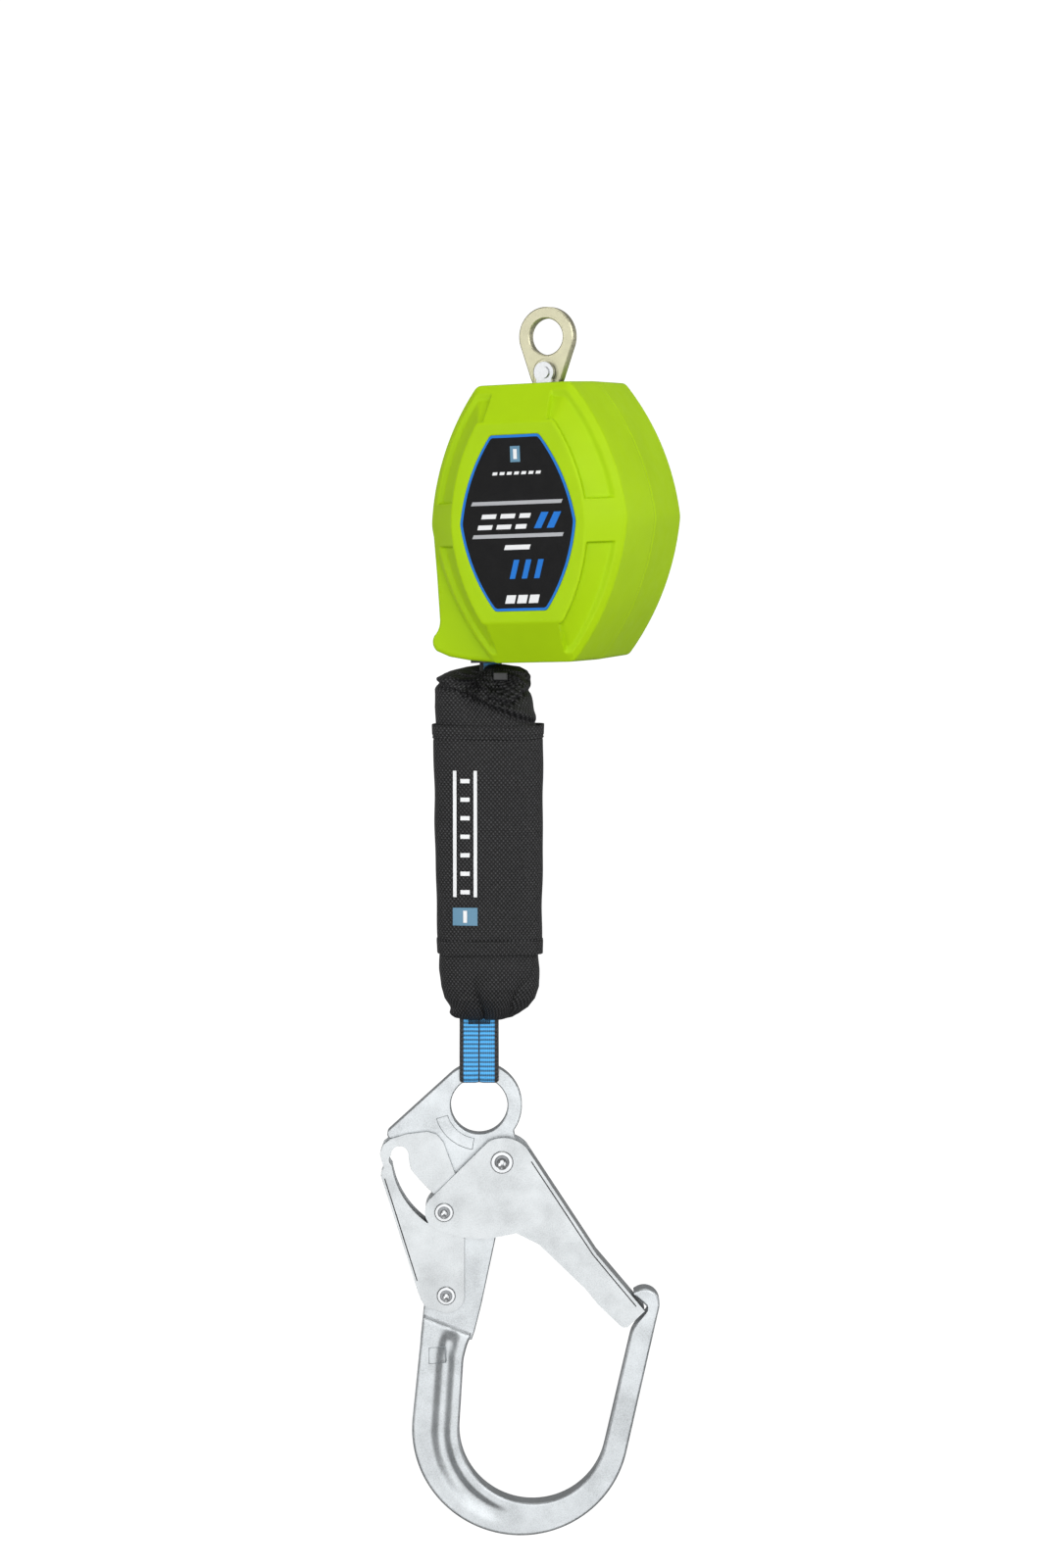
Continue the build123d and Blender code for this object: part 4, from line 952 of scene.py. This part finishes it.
def cover():
    """The absorber's cloth cover: gathered to a dome at the top and to the web at the bottom."""
    columns, rows = 320, 330
    table = np.array(COVER)
    top, bottom = COVER[0][0], COVER[-1][0]
    heights = [top + (bottom - top) * (0.5 - 0.5 * math.cos(math.pi * i / (rows - 1))) for i in range(rows)]
    points = []
    for z in heights:
        centre, wide, deep = (float(np.interp(-z, -table[:, 0], table[:, i])) for i in (1, 2, 3))
        for j in range(columns):
            turn = math.tau * j / columns
            c, s = math.cos(turn), math.sin(turn)
            u, out = squarish(c, s, 2.9)
            push = 0.55 * fold_noise(u * 2.2, z * 0.09, out)
            from_gather = math.hypot(u * wide + centre - 0.5, (z + 171.5) * 1.15)
            bearing = math.atan2(z + 171.5, u * wide + centre - 0.5)
            side = 0.0 if out > 0 else 1.9
            swirl = math.sin(bearing * 7.0 + from_gather * 0.16 + side) ** 2
            near = math.exp(-((from_gather - 11) / 11) ** 2) * soft_step(-z - 169.0, 4)
            calm = 1 - 0.65 * abs(c) ** 4
            push += near * (3.4 * (1 - abs(2 * swirl - 1) ** 0.6) - 1.2) * calm
            ridge = math.sin(bearing * 3.0 - from_gather * 0.10 + 1.1 + side)
            push += 1.7 * ridge * math.exp(-((from_gather - 20) / 9) ** 2)
            spot = u * wide + centre
            for crease_line in TOP_CREASES:
                above = z - float(np.interp(spot + side * 4, *crease_line))
                lip = 2.0 * math.exp(-((above - 2.6) / 2.4) ** 2)
                push += calm * (lip - 2.0 * math.exp(-((above + 0.5) / 1.2) ** 2))
            low = soft_step(-z - 322, 26)
            fan = math.atan2(spot + 3.0, z + 374.0)
            fold = abs(math.sin(fan * 5.2 + 0.55 + side + 0.25 * math.sin(z * 0.2)))
            push += low * (4.2 * fold ** 0.7 - 2.9) * calm
            push += 2.6 * math.exp(-((spot + 17.5) / 3.4) ** 2 - ((z + 350.2) / 2.8) ** 2)
            if -201 > z > -316:
                push = min(push, 0.2)          # stays under the sleeve
            grown = 1 + push / (math.hypot(wide * u, deep * out) + 1e-6)
            points.append(on_line(centre + u * wide * grown, out * deep * grown, z))
    made = piece("absorber_cloth", points, tube_faces(rows, columns))
    girth = girth_steps(made, rows // 2, columns)
    cloth_map(made, rows, columns, lambda row, column: (girth[column], heights[row] * MM))
    finish_as(crease(made, 75), "black_nylon", "absorber", "absorber_cover")


SLEEVE_TOP, SLEEVE_BOTTOM = -199.2, -317.8


def sleeve_section(z):
    """The share of the way down the sleeve, and its centre across, half width and half depth there."""
    share = (z - SLEEVE_TOP) / (SLEEVE_BOTTOM - SLEEVE_TOP)
    return share, -1.4 + 0.8 * share, 28.7 - 1.5 * share, 17.0 - 0.9 * share


def sleeve():
    """The sleeve wrapped round the cover, with turned and stitched hems."""
    columns, steps = 340, 200
    top, bottom = SLEEVE_TOP, SLEEVE_BOTTOM
    rows = [(top - 2.4, -1.3), (top - 0.7, -1.25), (top + 0.1, -0.8)]
    rows += [(top + (bottom - top) * i / steps, 0.0) for i in range(steps + 1)]
    rows += [(bottom - 0.1, -0.8), (bottom + 0.7, -1.25), (bottom + 2.4, -1.3)]
    points = []
    for z, tuck in rows:
        share, centre, wide, deep = sleeve_section(z)
        hem = 0.45 * (1 - soft_step(min(abs(z - top), abs(z - bottom)) - 6.6, 0.8))
        lines = (top - 7.2, bottom + 7.2, top - 5.6)
        stitch = sum(0.45 * math.exp(-((z - line) / 0.45) ** 2) for line in lines)
        for j in range(columns):
            turn = math.tau * j / columns
            c = math.cos(turn)
            u, out = squarish(c, math.sin(turn), 3.6)
            wrinkle = 0.30 * fold_noise(u * 1.8, z * 0.06, out * 0.8)
            wrinkle += 0.14 * math.sin(z * 0.22 + 2.0 * math.sin(turn * 2)) * (0.4 + 0.6 * abs(c) ** 3)
            push = tuck + hem + wrinkle * 0.8 - stitch
            grown = 1 + push / math.hypot(wide * u, deep * out)
            wave = 0.25 * math.sin(turn * 3 + 1.0) * (1 - 2 * share)
            points.append(on_line(centre + u * wide * grown, out * deep * grown, z + wave))
    made = piece("absorber_wrap", points, grid_faces(len(rows), columns))
    girth = girth_steps(made, len(rows) // 2, columns)
    cloth_map(made, len(rows), columns, lambda row, column: (girth[column], rows[row][0] * MM))
    finish_as(crease(made, 60), "black_nylon", "absorber", "absorber_sleeve")


def sleeve_print():
    """Plain stripes and a block printed on the sleeve's front."""
    marks = [(-19.6, -6.8, -302.3, -293.0, PALE_BLUE_INK), (-19.4, -17.6, -287.5, -222.0, WHITE_INK),
             (-8.8, -7.0, -287.5, -222.0, WHITE_INK)]
    marks += [(-15.6, -10.8, -286.0 + 9.6 * i, -283.8 + 9.6 * i, WHITE_INK) for i in range(7)]
    marks.append((-14.2, -12.2, -300.8, -294.5, WHITE_INK))
    rows, columns = 24, 6
    parts = []
    for order, (left, right, low, high, ink) in enumerate(marks):
        lift = 0.75 + 0.03 * order
        points = []
        for i in range(rows + 1):
            z = low + (high - low) * i / rows
            centre, wide, deep = sleeve_section(z)[1:]
            for j in range(columns + 1):
                u = left + (right - left) * j / columns
                out = deep * (1 - abs((u - centre) / wide) ** 3.6) ** (1 / 3.6)
                points.append(on_line(u, out + lift, z))
        parts.append(piece("mark", points, grid_faces(rows + 1, columns + 1, closed=False), ink))
    declared(joined("wrap_print", parts), "absorber")


def ribbon(name, path, width, thick, place, material, steps=24, wander=None):
    """A flat web along a path of (a, b) points. place takes across, a and b."""
    side = sideways(path)
    along = running(path)
    section = []
    for i in range(steps + 1):
        q = -0.5 + i / steps
        near = (0.5 - abs(q)) * width
        h = thick / 2 * (1 if near > thick / 2 else math.sqrt(max(0.05, 1 - (1 - 2 * near / thick) ** 2)))
        section.append((q * width, h))
    loop = section + [(u, -h) for u, h in reversed(section)]
    columns = len(loop)
    points = []
    for row, (a, b) in enumerate(path):
        for u, h in loop:
            off = h + (wander(u) if wander else 0.0)
            points.append(place(u, a + side[row, 0] * off, b + side[row, 1] * off))
    made = piece(name, points, tube_faces(len(path), columns), material)
    layer = made.data.uv_layers.new(name="web")
    for polygon in made.data.polygons:
        for index in polygon.loop_indices:
            row, column = divmod(made.data.loops[index].vertex_index, columns)
            layer.data[index].uv = (loop[column][0] * MM, along[min(row, len(path) - 1)] * MM)
    return crease(made, 60)


def smooth_path(points, steps, passes):
    return smoothed(run(points, steps), passes)


def web_loop():
    """The blue loop that holds the hook's ring, and its bar tack."""
    ring_top = 14.8
    low = ring_top - 2.1
    leg, spread = 1.4, 6.4
    top = -342.0 - RING.z
    knee = -357.5 - RING.z
    corners = [(leg, top), (leg, knee), (spread, knee - 13), (spread, low + 2.5), (spread - 2.5, low)]
    corners += [(-a, b) for a, b in reversed(corners)]
    made = ribbon("hook_loop", smooth_path(corners, 220, 14), 20.4, 1.9,
                  lambda u, out, z: on_hook(u, -out, z), MATERIALS["blue_web"],
                  wander=lambda u: -0.35 * math.exp(-(u / 1.2) ** 2))
    declared(made, "absorber", "hook_web_loop")
    tacks = []
    base = leg + 1.25
    for row in range(3):
        z = -354.6 - RING.z + (row - 1) * 0.8
        for i in range(11):
            u = -5.2 + i * 1.04
            corners = [(u - 0.5, z - 0.45), (u + 0.3, z - 0.45), (u + 0.75, z + 0.45), (u - 0.05, z + 0.45)]
            for side in (1, -1):
                points = [on_hook(a, side * (base - 0.3), b) for a, b in corners]
                points += [on_hook(u + (a - u) * 0.6, side * (base + 0.15), z + (b - z) * 0.6)
                           for a, b in corners]
                faces = grid_faces(2, 4) + [(4, 5, 6, 7)]
                tacks.append(piece("stitch", points, faces, MATERIALS["black_thread"]))
    declared(joined("bar_tack", tacks), "absorber", "loop_stitching")


def lifeline():
    """The web's way from the roll, down the nozzle and into the cover."""
    line_x = HANG.x
    spots = [hung(x, 0, z) / MM for x, z in ((-43.2, MID), (-42.4, MID - 20), (-38.6, -158.0))]
    corners = [(spot.x, spot.z) for spot in spots] + [(line_x, -168.0), (line_x, -177.0)]
    path = smooth_path(corners, 160, 20)
    made = ribbon("lifeline_run", path, 25.0, 1.7, lambda u, x, z: Vector((x, u, z)) * MM,
                  MATERIALS["line_web"])
    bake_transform(made)
    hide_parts("lifeline_web")


cover()
sleeve()
sleeve_print()
web_loop()
lifeline()


# ---- stage, light and camera
TURN = math.radians(25)
CAMERA_AT = Vector((-0.0127 * math.cos(TURN) + 2.013 * math.sin(TURN),
                    -0.0127 * math.sin(TURN) - 2.013 * math.cos(TURN), -0.053))


def stage():
    """A plain pale floor that curves up all round into a backdrop."""
    low, flat, bend, rise, steps = -4.2, 18.0, 4.0, 16.0, 96
    line = [(0.001, low), (flat, low)]
    for i in range(1, 16):
        turn = math.pi / 2 * i / 16
        line.append((flat + bend * math.sin(turn), low + bend * (1 - math.cos(turn))))
    line += [(flat + bend, low + bend), (flat + bend, rise)]
    points = []
    for reach, height in line:
        for j in range(steps):
            turn = math.tau * j / steps
            points.append((reach * math.cos(turn), reach * math.sin(turn), height))
    floor = piece("studio_floor", points, grid_faces(len(line), steps))
    for polygon in floor.data.polygons:
        polygon.use_smooth = True
    shader = Shader("studio_white", (0.5, 0.5, 0.5), 0.9)
    shader.main.inputs["Emission Color"].default_value = (1, 1, 1, 1)
    shader.main.inputs["Emission Strength"].default_value = 0.95
    floor.data.materials.append(shader.material)
    floor.visible_glossy = False
    floor.visible_diffuse = False
    floor.visible_shadow = False


def soft_box(name, at, size, power):
    """A soft light that looks at the object's middle."""
    light = bpy.data.lights.new(name, "AREA")
    light.shape = "RECTANGLE"
    light.size, light.size_y = size
    light.energy = power
    holder = linked(name, light)
    holder.location = seen_from(*at)
    holder.rotation_euler = (seen_from(0, 0, 0) - holder.location).to_track_quat("-Z", "Y").to_euler()


def seen_from(side, back, up):
    """A place by the camera's own right, its far direction and up, about the object's middle."""
    right = Vector((math.cos(TURN), math.sin(TURN), 0))
    far = Vector((-math.sin(TURN), math.cos(TURN), 0))
    return right * side + far * back + Vector((0, 0, up - 0.3))


stage()
soft_box("front_card", (0.1, -3.0, 0.1), (2.8, 3.8), 66)
soft_box("key", (1.25, -1.5, 0.9), (1.0, 1.4), 15)
soft_box("fill", (-1.4, -1.3, 0.4), (1.0, 1.6), 9)
soft_box("top", (0.1, 0.1, 1.9), (1.4, 1.4), 9)
soft_box("left_edge", (-1.5, 0.5, 0.1), (0.35, 1.6), 3.5)
soft_box("right_edge", (1.5, 0.3, 0.1), (0.35, 1.6), 6)

world = bpy.data.worlds.new("studio")
bpy.context.scene.world = world
world.use_nodes = True
world.node_tree.nodes["Background"].inputs["Color"].default_value = (1, 1, 1, 1)
world.node_tree.nodes["Background"].inputs["Strength"].default_value = 0.26
bpy.context.scene.view_settings.view_transform = "Standard"

lens = bpy.data.cameras.new("camera")
lens.lens = 90
lens.sensor_width = 36
lens.clip_end = 50
camera = linked("camera", lens)
camera.location = CAMERA_AT
camera.rotation_euler = (math.radians(90 - 5), 0, TURN)
bpy.context.scene.camera = camera
